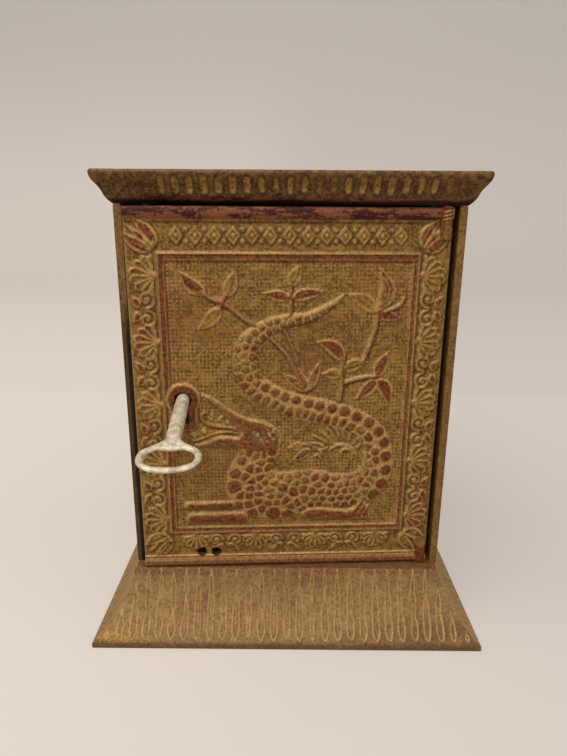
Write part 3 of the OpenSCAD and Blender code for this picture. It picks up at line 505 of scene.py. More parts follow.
def draw_plants(c):
    """The stems, the leaves and the plumes inside the coil."""
    for points in STEMS:
        cord_relief(c, [[x, z, 1.3 * half] for x, z, half in points], 0.62, 0.75)
    for base, tip, half, bend, worn in LEAVES:
        leaf_relief(c, base, tip, half, bend=bend, worn=worn)
    for (x, z), radius, start, sweep in ARCS:
        points = []
        for k in range(9):
            a = math.radians(start + sweep * k / 8)
            points.append([x + radius * math.cos(a), z + 0.9 * radius * math.sin(a), 0.7 - 0.1 * abs(k - 4)])
        cord_relief(c, points, 0.55, 0.15, 0.6)
    for angle, near, far in FAN:
        points = []
        for k in range(5):
            a, r = math.radians(angle + 2.5 * k), near + (far - near) * k / 4
            x, z = FAN_FOOT[0] + r * math.cos(a), FAN_FOOT[1] + 0.95 * r * math.sin(a)
            points.append([x, z, 0.5 - 0.06 * k])
        cord_relief(c, points, 0.48, 0.15, 0.4)


def draw_border(c):
    """Palmettes and pairs of scrolls round the frame, a big leaf at each corner, and the frieze."""
    for k in range(5):
        z = 110 - BORDER_PERIOD * k
        mid = z - BORDER_PERIOD / 2
        for side, edge in ((-1, FRAME_X[0]), (1, FRAME_X[1])):
            palmette_relief(c, (edge + 0.6 * side, z), 180 if side < 0 else 0)
            if k == 4:
                continue
            for hand in (-1, 1):
                centre = (edge + 3.0 * side, mid + 2.8 * hand)
                spiral_relief(c, centre, 2.5, 1.35, -90 * hand, -side * hand)
                leaf_relief(c, [edge + side * 5.2, mid + 0.56 * hand], [edge + side * 7.2, mid + 3.64 * hand],
                            1.15, 0.6, 0.3 * side * hand, 0.5, 0.75)
    for k in range(4):
        x = BORDER_PERIOD * k - 28
        palmette_relief(c, (x, FRAME_Z[0] - 0.5), -90, 5.4)
        if k == 3:
            continue
        for hand in (-1, 1):
            spiral_relief(c, (x + 9 + 3 * hand, FRAME_Z[0] - 2.5), 2.1, 1.3, 90 + 90 * hand, -hand)
            leaf_relief(c, [x + 9 + 0.6 * hand, FRAME_Z[0] - 4], [x + 9 + 4.2 * hand, FRAME_Z[0] - 6.4],
                        0.9, 0.55, 0.25 * hand, 0.5, 0.7)
    for inner, outer in np.array(CORNER_LEAVES):
        side = np.array([outer[1] - inner[1], inner[0] - outer[0]]) / np.linalg.norm(outer - inner)
        worn = 0.7 if outer[1] > inner[1] else 0.5
        for s in (-1, 1):
            leaf_relief(c, inner + 0.9 * s * side, outer + 2.3 * s * side, 1.75, 0.76, -0.7 * s, 0.6, worn)
        leaf_relief(c, inner, outer, 1.0, 0.78, 0, 0.5, 0.6)


def draw_frieze(c):
    """A row of lozenges between small beads, in the band over the frame."""
    count, pitch = 13, 5.0
    for k in range(count):
        mid = (k - (count - 1) / 2) * pitch - 0.2
        w, x, z = c.around(mid, FRIEZE_Z, 3)
        share = np.abs(x - mid) / 2.0 + np.abs(z - FRIEZE_Z) / 2.6
        rim = 0.62 * rounded(share, 8) - 0.4 * step(0.78, 0.6, share)
        c.raise_to(w, rim + 0.4 * step(0.34, 0.2, share), 0.1, 0.8 * step(0.75, 0.6, share))
        if k < count - 1:
            for dz in (-1.5, 1.5):
                w, x, z = c.around(mid + pitch / 2, FRIEZE_Z + dz, 1)
                away = np.hypot(x - mid - pitch / 2, z - FRIEZE_Z - dz)
                c.raise_to(w, 0.5 * rounded(away / 0.62), 0.1)


def keyhole_depth(x, z):
    """Distance to the keyhole's outline, positive outside."""
    dx, dz = np.abs(x - KEYHOLE[0]), z - KEYHOLE[1]
    ring = np.hypot(dx, dz) - KEYHOLE_R
    mid = -KEYHOLE_SLOT[1] / 2
    ex, ez = dx - KEYHOLE_SLOT[0], np.abs(dz - mid) + mid
    slot = np.hypot(np.maximum(ex, 0), np.maximum(ez, 0)) + np.minimum(np.maximum(ex, ez), 0)
    return np.minimum(ring, slot)


def draw_keyhole(c):
    """The raised rim round the keyhole."""
    w, x, z = c.around(*KEYHOLE, 12)
    away = keyhole_depth(x, z)
    reach = KEYHOLE_RIM + 0.7
    near = away < reach
    c.h[w] = np.where(near, np.maximum(0.85 * rounded_step(reach - away, 1.0), 0.1), c.h[w])
    c.worn[w] = np.where(near, 0.8 * step(reach - 0.5, reach - 0.9, away), c.worn[w])
    c.gilt[w] = np.where(near, 0.0, c.gilt[w])
    c.pale[w] = np.where(near, 0.55 * step(reach - 0.8, reach - 0.4, away), c.pale[w])


def finish_canvas(c, seed):
    """Softens the relief, adds the casting's unevenness, settles where the paint is worn, and paints light
    and shade by the slope: a painted highlight on flanks facing up and to the left, painted shade on flanks
    facing away and in hollows.
    """
    c.h = blur(c.h, 0.7)
    open_field = step(0.55, 0.95, blur(c.field, 2.0))
    near = c.h - blur(c.h, 1.7)
    up, right = np.gradient(blur(c.h, 0.7), c.zs[1] - c.zs[0], c.xs[1] - c.xs[0])
    # flank is above 0 on slopes that face up and to the left, towards the key light, and below 0 on those
    # that face away from it.
    flank = np.clip((0.65 * right - 0.76 * up) / 0.9, -1, 1) * (1 - 0.6 * open_field)
    c.h += 0.03 * rough(c.x, c.z, 4, seed) + 0.03 * rough(c.x, c.z, 0.8, seed + 1, 2)
    # detail: above 0 on ridges, which the paint turns pale (worn edges and painted highlight); below 0 in
    # hollows and on flanks facing away from the light, which it turns darker (painted shade and dirt).
    c.detail = np.clip(near / 0.09 * (1 - 0.62 * open_field) + np.minimum(flank, 0), -1, 1)
    bulge = np.clip((c.h - blur(c.h, 5)) / 0.3, -1, 1)
    patches = rough(c.x, c.z, 14, seed + 2)
    scuffs = rough(c.x, c.z, 2, seed + 3)
    # Painted highlight: the flanks that face the light lose some of their reddish wear and turn pale.
    wear_and_highlight = 0.75 * np.clip(1.5 * blur(np.clip(flank, 0, 1), 0.8), 0, 1)
    c.worn = np.clip(blur(c.worn, 0.4) + 0.1 * bulge + 0.15 * scuffs + 0.2 * patches - wear_and_highlight, 0, 1.2)
    c.gilt = np.clip(blur(c.gilt, 0.6) + 0.25 * rough(c.x, c.z, 9, seed + 4), 0, 1)
    c.pale = np.clip((blur(c.pale, 0.4) + wear_and_highlight) * (1 + 0.5 * rough(c.x, c.z, 7, seed + 5)), 0, 0.72)


def picture_box():
    """The ranges in X and Z that lie inside the frame."""
    return [(low + FRAME_W, high - FRAME_W) for low, high in (FRAME_X, FRAME_Z)]


def door_canvas():
    """The whole relief of the door."""
    c = Canvas(DOOR_X, DOOR_Z, PITCH)
    draw_ground(c, *picture_box())
    draw_border(c)
    draw_frieze(c)
    draw_plants(c)
    draw_dragon(c)
    draw_mouldings(c)
    draw_keyhole(c)
    finish_canvas(c, 11)
    stain = step(6.5, 1.5, np.hypot((c.x - 30.5) / 0.75, (c.z - 104) / 1.5))
    c.worn = np.clip(c.worn + 0.5 * stain * step(-0.6, 0.5, rough(c.x, c.z, 3, 14)), 0, 1)
    low = step(LOW_BEAD_Z + 0.1, LOW_BEAD_Z - 0.2, c.z)
    c.worn = np.maximum(c.worn, 0.9 * low)
    c.pale = c.pale * (1 - low) + 0.2 * low
    c.bead = step(124.6, 125.2, c.z) * step(41.5, 38.5, c.x)
    c.pale *= 1 - 0.8 * c.bead
    for x, z in DRILLS:
        c.soot = np.maximum(c.soot, 0.85 * step(0.35, 0.1, np.hypot(c.x - x, c.z - z) - DRILL_R))
    hand_rubbed = step(38, 41, c.x) * np.maximum(step(114, 122, c.z), step(27, 24.5, c.z))
    c.worn = np.maximum(c.worn, 0.62 * hand_rubbed)
    edge = np.minimum.reduce([c.x - DOOR_X[0], DOOR_X[1] - c.x, c.z - DOOR_Z[0], DOOR_Z[1] - c.z])
    radius = 0.55
    c.h = np.minimum(c.h, RELIEF - 0.01) - radius * (1 - rounded_step(edge + 0.02, radius))
    # Painted highlight: the paint turns paler along the door's edges.
    c.pale = np.maximum(c.pale, 0.45 * step(0.9, 0.3, edge) * (1 - c.bead))
    return c


# Meshes

def mesh_object(name, points, faces, attributes=None, smooth=True):
    """An object from points in millimetres."""
    mesh = bpy.data.meshes.new(name)
    mesh.from_pydata((np.asarray(points) * MM).tolist(), [], faces)
    for key, values in (attributes or {}).items():
        mesh.attributes.new(key, "FLOAT", "POINT").data.foreach_set("value", np.asarray(values, np.float32))
    if smooth:
        mesh.shade_smooth()
        mesh.set_sharp_from_angle(angle=math.radians(42))
    mesh.validate()
    obj = bpy.data.objects.new(name, mesh)
    bpy.context.scene.collection.objects.link(obj)
    return obj


def ring_faces(rings, n, closed=False):
    """The faces between rings of n points, and over both ends unless the last ring joins the first."""
    faces = []
    for j in range(rings if closed else rings - 1):
        i = (j + 1) % rings
        for k in range(n):
            m = (k + 1) % n
            faces.append([j * n + k, j * n + m, i * n + m, i * n + k])
    if not closed:
        faces += [list(range(n - 1, -1, -1)), [(rings - 1) * n + k for k in range(n)]]
    return faces


def on_door(points):
    """Swings points of the closed door to where it stands at rest."""
    p = np.array(points, float)
    x, y = p[:, 0] - HINGE[0], p[:, 1] - HINGE[1]
    c, s = math.cos(DOOR_AJAR), math.sin(DOOR_AJAR)
    p[:, 0], p[:, 1] = HINGE[0] + x * c - y * s, HINGE[1] + x * s + y * c
    return p


def loops_of(edges):
    """Closed loops of points from directed boundary edges."""
    following = dict(edges)
    loops = []
    while following:
        start = next(iter(following))
        loop, here = [], start
        while here in following:
            loop.append(here)
            here = following.pop(here)
        loops.append(loop)
    return loops


def slab_from_canvas(name, c, keep, holes, thick, place, side_darkening=0.0):
    """A closed plate over the cells that keep marks, with the relief on its front and openings through it.
    Its heights count from the plane y = 0, its back lies at y = thick, and place puts it where it belongs."""
    nz, nx = c.h.shape
    x, z = c.x.copy(), c.z.copy()
    for away in holes:
        d = away(x, z)
        e = 1e-3
        gx, gz = (away(x + e, z) - d) / e, (away(x, z + e) - d) / e
        size = np.maximum(np.hypot(gx, gz), 0.3)
        near = np.abs(d) < 0.6 * (c.xs[1] - c.xs[0])
        x, z = np.where(near, x - d * gx / size ** 2, x), np.where(near, z - d * gz / size ** 2, z)
        inside = away(x, z) < -1e-3
        keep = keep & ~(inside[:-1, :-1] | inside[1:, :-1] | inside[:-1, 1:] | inside[1:, 1:])
    index = np.arange(nz * nx).reshape(nz, nx)
    a, b, d, e = index[:-1, :-1][keep], index[:-1, 1:][keep], index[1:, 1:][keep], index[1:, :-1][keep]
    quads = np.stack([a, b, d, e], 1)
    used = np.unique(quads)
    new = np.full(nz * nx, -1)
    new[used] = np.arange(len(used))
    quads = new[quads]
    front = np.stack([x.ravel()[used], -c.h.ravel()[used], z.ravel()[used]], 1)
    sides = np.concatenate([quads[:, [0, 1]], quads[:, [1, 2]], quads[:, [2, 3]], quads[:, [3, 0]]])
    known = set(map(tuple, sides.tolist()))
    loops = loops_of([(i, k) for i, k in known if (k, i) not in known])
    points, faces = [front], quads.tolist()
    count = len(front)
    outlines, starts = [], []
    for loop in loops:
        rim = front[loop].copy()
        rim[:, 1] = thick
        starts.append(count)
        points.append(rim)
        outlines.append([Vector((p[0], p[2], 0)) for p in rim])
        n = len(loop)
        faces += [[loop[(i + 1) % n], loop[i], count + i, count + (i + 1) % n] for i in range(n)]
        count += n
    flat = [start + i for start, outline in zip(starts, outlines) for i in range(len(outline))]
    faces += [[flat[t[0]], flat[t[1]], flat[t[2]]] for t in tessellate_polygon(outlines)]
    points = place(np.concatenate(points))
    pad = count - len(front)
    # The sides and the back get detail below 0 from the last argument, which turns their paint darker.
    behind = {"worn": 0.2, "gilt": 0, "pale": 0, "soot": 0, "detail": -side_darkening, "bead": 0}
    values = {key: np.concatenate([getattr(c, key).ravel()[used], np.full(pad, value)])
              for key, value in behind.items()}
    return mesh_object(name, points, faces, values)


def turned(name, profile, axis_point, sides=48, look=None):
    """A closed solid turned about a vertical axis, from [radius, z] points. look gives the attributes at x
    and z."""
    a = 2 * np.pi * np.arange(sides) / sides
    points = np.concatenate([np.stack([axis_point[0] + r * np.cos(a), axis_point[1] + r * np.sin(a),
                                       np.full(sides, z)], 1) for r, z in profile])
    values = look(points[:, 0], points[:, 2]) if look else None
    return mesh_object(name, points, ring_faces(len(profile), sides), values)


def rectangle_sweep(rows, columns, relief=None):
    """Points and faces of a closed band of rectangles [half x, half y, z]. relief(side, across, row) gives
    how far a point stands out along the row's own normal."""
    rows = np.array(rows, float)
    t = np.linspace(-1, 1, columns + 1)[:-1]
    slope = np.gradient(rows, axis=0)
    points = []
    for j, (hx, hy, z) in enumerate(rows):
        out, up = slope[j, 2], -slope[j, 0]
        size = math.hypot(out, up) or 1
        out, up = out / size, up / size
        for side, (half, other) in enumerate(((hx, hy), (hy, hx), (hx, hy), (hy, hx))):
            across = t * half
            lift = relief(side, across, j) if relief else np.zeros_like(across)
            away = other + lift * out
            height = z + lift * up
            sign = (1, 1, -1, -1)[side]
            if side % 2 == 0:
                points.append(np.stack([sign * across, -sign * away, height], 1))
            else:
                points.append(np.stack([sign * away, sign * across, height], 1))
    return np.concatenate(points), ring_faces(len(rows), 4 * columns, True)


def sweep_look(rows, columns, look):
    """The attributes of a band's points; look(side, across, row) gives those of one side in one row."""
    t = np.linspace(-1, 1, columns + 1)[:-1]
    parts = [look(side, t * row[side % 2], j) for j, row in enumerate(rows) for side in range(4)]
    return {key: np.concatenate([part[key] for part in parts]) for key in parts[0]}


def corner_fade(across, half):
    """1 away from the corners and 0 at them."""
    return step(0.2, 1.2, half - np.abs(across))


# Materials

def new_material(name):
    """A node material with one shader, and a painter for its nodes."""
    material = bpy.data.materials.new(name)
    material.use_nodes = True
    tree = material.node_tree
    tree.nodes.clear()
    output = tree.nodes.new("ShaderNodeOutputMaterial")
    shader = tree.nodes.new("ShaderNodeBsdfPrincipled")
    tree.links.new(shader.outputs[0], output.inputs[0])
    return material, Painter(tree), shader


def srgb(r, g, b):
    """A linear colour from 8-bit display values."""
    def linear(v):
        v /= 255
        return v / 12.92 if v <= 0.04045 else ((v + 0.055) / 1.055) ** 2.4
    return (linear(r), linear(g), linear(b), 1)


# The sockets of a mix node that are for colour
MIX_SHARE, MIX_A, MIX_B, MIX_COLOUR = 0, 6, 7, 2


class Painter:
    """Short names for the nodes that the materials share."""

    def __init__(self, tree):
        self.nodes, self.links = tree.nodes, tree.links
        self.place = self.node("TexCoord").outputs["Object"]

    def feed(self, node, inputs):
        """Links outputs to a node's sockets, and sets plain values on them."""
        for name, value in inputs.items():
            if isinstance(value, bpy.types.NodeSocket):
                self.links.new(value, node.inputs[name])
            else:
                node.inputs[name].default_value = value

    def node(self, kind, inputs=None, **settings):
        node = self.nodes.new("ShaderNode" + kind)
        for name, value in settings.items():
            setattr(node, name, value)
        self.feed(node, inputs or {})
        return node

    def noise(self, scale, detail=4, rough=0.6, seed=0.0, stretch=(1, 1, 1)):
        place = {"Vector": self.place, "Location": (seed, 1.7 * seed, 2.3 * seed), "Scale": stretch}
        mapped = self.node("Mapping", place).outputs[0]
        noise = {"Vector": mapped, "Scale": scale, "Detail": detail, "Roughness": rough}
        return self.node("TexNoise", noise).outputs["Fac"]

    def attribute(self, name):
        return self.node("Attribute", attribute_name=name).outputs["Fac"]

    def math(self, operation, a, b):
        return self.node("Math", {0: a, 1: b}, operation=operation).outputs[0]

    def times(self, a, b):
        return self.math("MULTIPLY", a, b)

    def plus(self, a, b):
        return self.math("ADD", a, b)

    def ramp(self, value, low, high):
        """0 to 1 as the value goes from low to high."""
        span = {"Value": value, "From Min": low, "From Max": high}
        return self.node("MapRange", span, interpolation_type="SMOOTHSTEP").outputs["Result"]

    def along(self, axis, start, end):
        """0 to 1 from one place on an axis to another, in millimetres."""
        place = self.node("SeparateXYZ", {0: self.place}).outputs[axis]
        return self.ramp(place, start * MM, end * MM)

    def mix(self, share, a, b):
        """A colour between a and b."""
        node = self.node("Mix", data_type="RGBA")
        self.feed(node, {MIX_SHARE: share, MIX_A: a, MIX_B: b})
        return node.outputs[MIX_COLOUR]

    def bump(self, shader, height, strength, distance):
        node = self.node("Bump", {"Strength": strength, "Distance": distance, "Height": height})
        self.feed(shader, {"Normal": node.outputs[0]})


DOOR_GROUND = (srgb(80, 53, 17), srgb(138, 98, 42), srgb(160, 120, 60))
CAP_GROUND = (srgb(60, 37, 14), srgb(112, 79, 39), srgb(130, 96, 51))
BASE_GROUND = (srgb(114, 84, 46), srgb(146, 112, 68), srgb(160, 128, 82))
WALL_GROUND = (srgb(94, 66, 30), srgb(134, 98, 50), srgb(150, 112, 60))
WORN_RED = (srgb(76, 32, 9), srgb(129, 69, 30))
WORN_ROSE = (srgb(108, 72, 42), srgb(142, 102, 64))
WORN_BROWN = (srgb(62, 34, 16), srgb(110, 74, 40))
GILT = (srgb(126, 88, 24), srgb(178, 136, 58))
EDGE = srgb(190, 152, 94)
MAROON = (srgb(56, 12, 10), srgb(127, 75, 48))
# A dark brown for painted shade and dirt; the next is near black for black lines and painted shadow.
SHADE_AND_DIRT = srgb(54, 27, 3)
SHADOW_AND_BLACK = srgb(10, 4, 2)
RUST = srgb(116, 66, 34)


def bronze_paint(name, ground, worn, seed=0.0, wear=0.0, edge=0.45, gap_shadow=None):
    """Old bronze paint on cast iron: speckled gold, brighter where it lies safe in a hollow, reddish where
    hands have worn it, pale along its edges with worn paint and painted highlight, and darker in its crevices
    and on flanks turned from the light with painted shade and dirt. gap_shadow paints the door's shadow in
    the
    gap on the latch side black: it gives the pairs of millimetres over which the black comes in along X, Y
    and Z."""
    material, p, shader = new_material(name)
    patches = p.noise(45, 3, 0.5, seed + 1)
    mottle = p.noise(360, 4, 0.6, seed + 2)
    grain = p.noise(1250, 3, 0.7, seed + 3)
    speckle = p.ramp(grain, 0.38, 0.62)
    colour = p.mix(speckle, ground[0], ground[1])
    colour = p.mix(p.times(p.ramp(mottle, 0.46, 0.66), 0.6), colour, ground[2])
    colour = p.mix(p.times(p.ramp(patches, 0.5, 0.72), 0.4), colour, RUST)
    colour = p.mix(p.times(p.attribute("gilt"), 0.8), colour, p.mix(speckle, *GILT))
    detail = p.attribute("detail")
    # Painted shade and dirt where detail is below 0: in the hollows and on flanks facing away from the light.
    colour = p.mix(p.times(p.ramp(detail, -0.2, -0.9), 0.5), colour, SHADE_AND_DIRT)
    high = p.plus(p.attribute("worn"), p.times(p.math("SUBTRACT", mottle, 0.5), 0.7))
    wear_and_highlight = p.ramp(p.plus(high, wear), 0.42, 0.6)
    colour = p.mix(wear_and_highlight, colour, p.mix(speckle, *worn))
    streak = p.noise(420, 9, 0.76, seed + 4, (0.2, 0.2, 1.0))
    torn = p.plus(streak, p.times(p.math("SUBTRACT", grain, 0.5), 0.32))
    colour = p.mix(p.attribute("bead"), colour, p.mix(p.ramp(torn, 0.45, 0.55), *MAROON))
    # Paler along ridges and the outlines of tongues and flutes: worn edges and painted highlight.
    from_line = p.math("ABSOLUTE", p.math("SUBTRACT", p.attribute("outline"), OUTLINE_ZERO + 0.08), 0)
    rim = p.math("MAXIMUM", p.ramp(detail, 0.3, 1.1), p.ramp(from_line, 0.38, 0.12))
    rim = p.times(p.times(rim, edge), p.plus(p.times(speckle, 0.4), 0.6))
    pale = p.times(p.attribute("pale"), p.plus(p.times(speckle, 0.5), 0.5))
    colour = p.mix(p.math("MAXIMUM", rim, pale), colour, EDGE)
    # Near black for black lines and for painted shadow: under the cap, round its tongues and, on the latch
    # side, in the door's gap.
    black = p.attribute("soot")
    # Painted shadow of the door in the gap on the latch side.
    if gap_shadow:
        front = p.times(p.along("Y", *gap_shadow[1]), p.along("Z", *gap_shadow[2]))
        black = p.times(front, p.plus(p.times(p.along("X", *gap_shadow[0]), 0.4), 0.56))
    colour = p.mix(black, colour, SHADOW_AND_BLACK)
    p.feed(shader, {"Base Color": colour, "Metallic": 0.35, "Specular IOR Level": 0.25,
                    "Roughness": p.plus(p.times(mottle, 0.3), 0.3)})
    p.bump(shader, p.plus(grain, mottle), 0.5, 0.0003)
    return material


def iron(name, dark, light, seed=0.0, metallic=0.6, roughness=0.45, scale=300, pit=None):
    """Bare or dull metal with darker blotches and fine pits."""
    material, p, shader = new_material(name)
    blotches = p.noise(scale, 5, 0.65, seed + 1)
    pits = p.noise(scale * 6, 3, 0.6, seed + 2)
    colour = p.mix(p.ramp(blotches, 0.3, 0.7), dark, light)
    colour = p.mix(p.times(p.ramp(pits, 0.58, 0.7), 0.6), colour, pit or dark)
    p.feed(shader, {"Base Color": colour, "Metallic": metallic,
                    "Roughness": p.plus(p.times(blotches, 0.3), roughness - 0.15)})
    p.bump(shader, p.plus(pits, blotches), 0.4, 0.0002)
    return material


def paint_with(obj, material):
    """The object takes only this material."""
    obj.data.materials.clear()
    obj.data.materials.append(material)
    for polygon in obj.data.polygons:
        polygon.material_index = 0


def dress(obj, material, body, node=None):
    """Paints a new piece with its material, hides the CAD node that it stands for if one is given, and
    attaches it to its body.
    """
    paint_with(obj, material)
    if node:
        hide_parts(node)
    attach(obj, body)


# The pieces

def make_door():
    """The door's casting in two parts: the picture inside the frame, and everything round it."""
    c = door_canvas()
    (i0, i1), (k0, k1) = ([np.abs(line - v).argmin() for v in span]
                          for line, span in zip((c.xs, c.zs), picture_box()))
    picture = np.zeros((len(c.zs) - 1, len(c.xs) - 1), bool)
    picture[k0:k1, i0:i1] = True
    drills = [lambda x, z, q=q: np.hypot(x - q[0], z - q[1]) - DRILL_R for q in DRILLS]
    shift = np.array([0, DOOR_FRONT_Y + RELIEF, 0])
    build = lambda name, keep, holes: slab_from_canvas(name, c, keep, holes, DOOR_T - RELIEF,
                                                       lambda p: on_door(p + shift), 0.6)
    panel = build("door_picture", picture, [keyhole_depth])
    border = build("door_border", ~picture, drills)
    material = bronze_paint("door_bronze", DOOR_GROUND, WORN_RED)
    for obj in (panel, border):
        dress(obj, material, "door", "door")
    stroke_z = 125.2

    def lug_look(x, z):
        stroke = step(0.3, 0.12, np.abs((z - stroke_z - 0.25 * (x - HINGE[0]) + 0.5) % 1 - 0.5))
        stroke = stroke * (z > stroke_z - 0.4) * (z < stroke_z + 2.4) * step(1.3, 1.0, np.abs(x - HINGE[0]))
        reddish = np.maximum(step(29, 25, z), step(121, 124, z))
        return {"gilt": stroke, "pale": 0.4 * stroke, "worn": 0.6 * reddish * (1 - stroke)}

    low, high = DOOR_Z[0] - LUG_PAST, DOOR_Z[1] + LUG_PAST - LUG_H
    for name, z in (("door_lug_lower", low), ("door_lug_upper", high)):
        edge = 0.35
        profile = [[LUG_R - edge, z], [LUG_R - 0.1, z + 0.1]]
        profile += [[LUG_R, v] for v in np.linspace(z + edge, z + LUG_H - edge, 80)]
        profile += [[LUG_R - 0.1, z + LUG_H - 0.1], [LUG_R - edge, z + LUG_H]]
        lug = turned(name, profile, HINGE, look=lug_look)
        dress(lug, material, "door")


def cap_overhang(u):
    """The moulding's overhang at a share u of its height."""
    return CAP_OVER * (u + 0.1 * math.sin(math.pi * u) + 0.05 * math.sin(3 * math.pi * u))


def make_cap():
    """The cap: a moulding with a row of sunk tongues, hollow from below, with a bordered slot in its top."""
    bx, by = BODY_HALF
    top, nose = CAP_Z + CAP_H, 0.1 * CAP_H
    rows = []
    for u in np.linspace(0, 1, 34):
        o = cap_overhang(u)
        rows.append([bx + o, by + o, CAP_Z + u * (CAP_H - nose)])
    for a in np.radians((20, 45, 70, 90)):
        o = CAP_OVER - 0.6 * nose * (1 - math.cos(a))
        rows.append([bx + o, by + o, top - nose + nose * math.sin(a)])
    moulding = len(rows)
    sx, sy = SLOT_HALF
    edge = CAP_OVER - 0.6 * nose - 0.5
    rows.append([bx + edge, by + edge, top])
    for out, z in ((SLOT_BORDER + 1, top), (SLOT_BORDER + 0.3, top), (SLOT_BORDER, top + 0.25),
                   (SLOT_BORDER - 0.4, top + 0.38), (0.3, top + 0.38), (0, top + 0.15), (0, top - CAP_PLATE)):
        rows.append([sx + out, sy + out, z])
    for inset, z in ((CAP_RIM, top - CAP_PLATE), (CAP_RIM, CAP_Z + 0.3), (CAP_RIM - 0.3, CAP_Z), (0.2, CAP_Z),
                     (0, CAP_Z + 0.02)):
        rows.append([bx - inset, by - inset, z])
    heights = np.array(rows)[:, 2]
    low, high = TONGUE_Z

    def tongue(across, j):
        """Distance from a tongue's outline in millimetres, less than 0 inside."""
        if j >= moulding:
            return np.full_like(across, 9)
        dx = across - np.round(across / TONGUE_PITCH) * TONGUE_PITCH
        up = (heights[j] - (low + high) / 2) / ((high - low) / 2)
        return ((np.abs(dx / TONGUE_HALF) ** 3 + abs(up) ** 3) ** (1 / 3) - 1) * TONGUE_HALF

    def kept(side, across):
        """How much of the tongues the wear has left: little at one end of the front and past its middle."""
        if side:
            return np.ones_like(across)
        return step(-37, -33, across) * (1 - 0.6 * ridge(across - 9, 4)) * step(48, 34, across)

    def relief(side, across, j):
        if j >= moulding:
            return np.zeros_like(across)
        away = tongue(across, j)
        place = (across + 50 * side, heights[j] * np.ones_like(across))
        uneven = 0.05 * rough(*place, 5, 31) + 0.03 * rough(*place, 0.9, 32, 2)
        rim = 0.16 * ridge(away - 0.1, 0.3)
        sunk = (rim - 0.3 * step(0.05, -0.45, away)) * (0.4 + 0.6 * kept(side, across))
        return (sunk + uneven) * corner_fade(across, rows[j][side % 2])

    def look(side, across, j):
        z, away, left = heights[j], tongue(across, j), kept(side, across)
        place = (across + 90 * side, z * np.ones_like(across))
        patch = step(-0.8, -0.1, rough(*place, 16, 33)) * step(-0.9, 0.0, rough(*place, 1.0, 36)) * left
        inside = step(0.05, -0.25, away)
        # Painted shade: a dark ring round the edge of each sunk tongue.
        around = ridge(away - 0.1, 0.3)
        # Painted highlight along the top edge of the nose.
        lit = step(top - 0.9, top - 0.5, z) * (j < moulding)
        # Painted shadow: the lower band of the moulding, under its overhang, turns near black.
        black = step(1.5, 0.6, z - CAP_Z + 0.6 * rough(*place, 18, 37)) * (j < moulding)
        return {"worn": np.clip(0.35 + 0.4 * rough(*place, 9, 34) - inside, 0, 1),
                "gilt": 0.9 * inside * patch,
                "detail": 0.5 * lit - 0.7 * around,
                "bead": np.full(across.shape, 0.9 * step(CAP_Z + 2.3, CAP_Z + 1.5, z)),
                "soot": np.maximum(0.93 * black, 0.3 * around * left),
                "outline": OUTLINE_ZERO + away + 0.22 + 2 * (1 - patch)}

    points, faces = rectangle_sweep(rows, CAP_COLUMNS, relief)
    cap = mesh_object("cap_casting", points, faces, sweep_look(rows, CAP_COLUMNS, look))
    paint = bronze_paint("cap_bronze", CAP_GROUND, WORN_BROWN, 11.0, 0, 0.35)
    dress(cap, paint, "root", "cap")
    for x in (-1, 1):
        for y in (-1, 1):
            name = "cap_boss_" + ("r" if x > 0 else "l") + ("b" if y > 0 else "f")
            place = (x * BOSS_AT[0], y * BOSS_AT[1])
            boss = turned(name, [[BOSS_R, CAP_Z], [BOSS_R, top - 1]], place, 32)
            dress(boss, paint, "root")


def slope_rows(inset, count):
    """The skirt's slope from the lip to the deck, as half widths and heights, moved in by an inset."""
    foot, deck = BASE_HALF, DECK_HALF
    run, rise = foot - deck, DECK_Z - LIP_Z
    chord = math.hypot(run, rise)
    radius = chord ** 2 / (8 * SLOPE_SAG) + SLOPE_SAG / 2
    cx = (foot + deck) / 2 + rise / chord * (radius - SLOPE_SAG)
    cz = (DECK_Z + LIP_Z) / 2 + run / chord * (radius - SLOPE_SAG)
    ends = [math.atan2(z - cz, x - cx) % (2 * math.pi) for x, z in ((foot, LIP_Z), (deck, DECK_Z))]
    return [[cx + (radius + inset) * math.cos(a), cz + (radius + inset) * math.sin(a)]
            for a in np.linspace(*ends, count)]


def base_flute(across, z):
    """Distance from a flute's outline on the slope, in millimetres, less than 0 inside it."""
    foot_z, head_z = LIP_Z + 0.8, DECK_Z - 0.7
    line = np.array(slope_rows(0, 40))
    centre = np.round(across / FLUTE_PITCH) * FLUTE_PITCH
    shoulder = np.abs(centre) + 1.5
    hip = np.interp(-shoulder, -line[:, 0], line[:, 1])
    head = np.where(shoulder > DECK_HALF, np.minimum(hip, head_z), head_z)
    up = (z - foot_z) / np.maximum(head - foot_z, 0.1)
    wide = FLUTE_HALF * np.sqrt(np.clip((z - foot_z) / 1.4, 0, 1)) * (1 - np.clip(up, 0, 1) ** 1.5) ** 0.8
    past = np.maximum(foot_z - z, (z - head) / 2)
    return np.where(past > 0, np.hypot(past, across - centre), np.abs(across - centre) - wide)


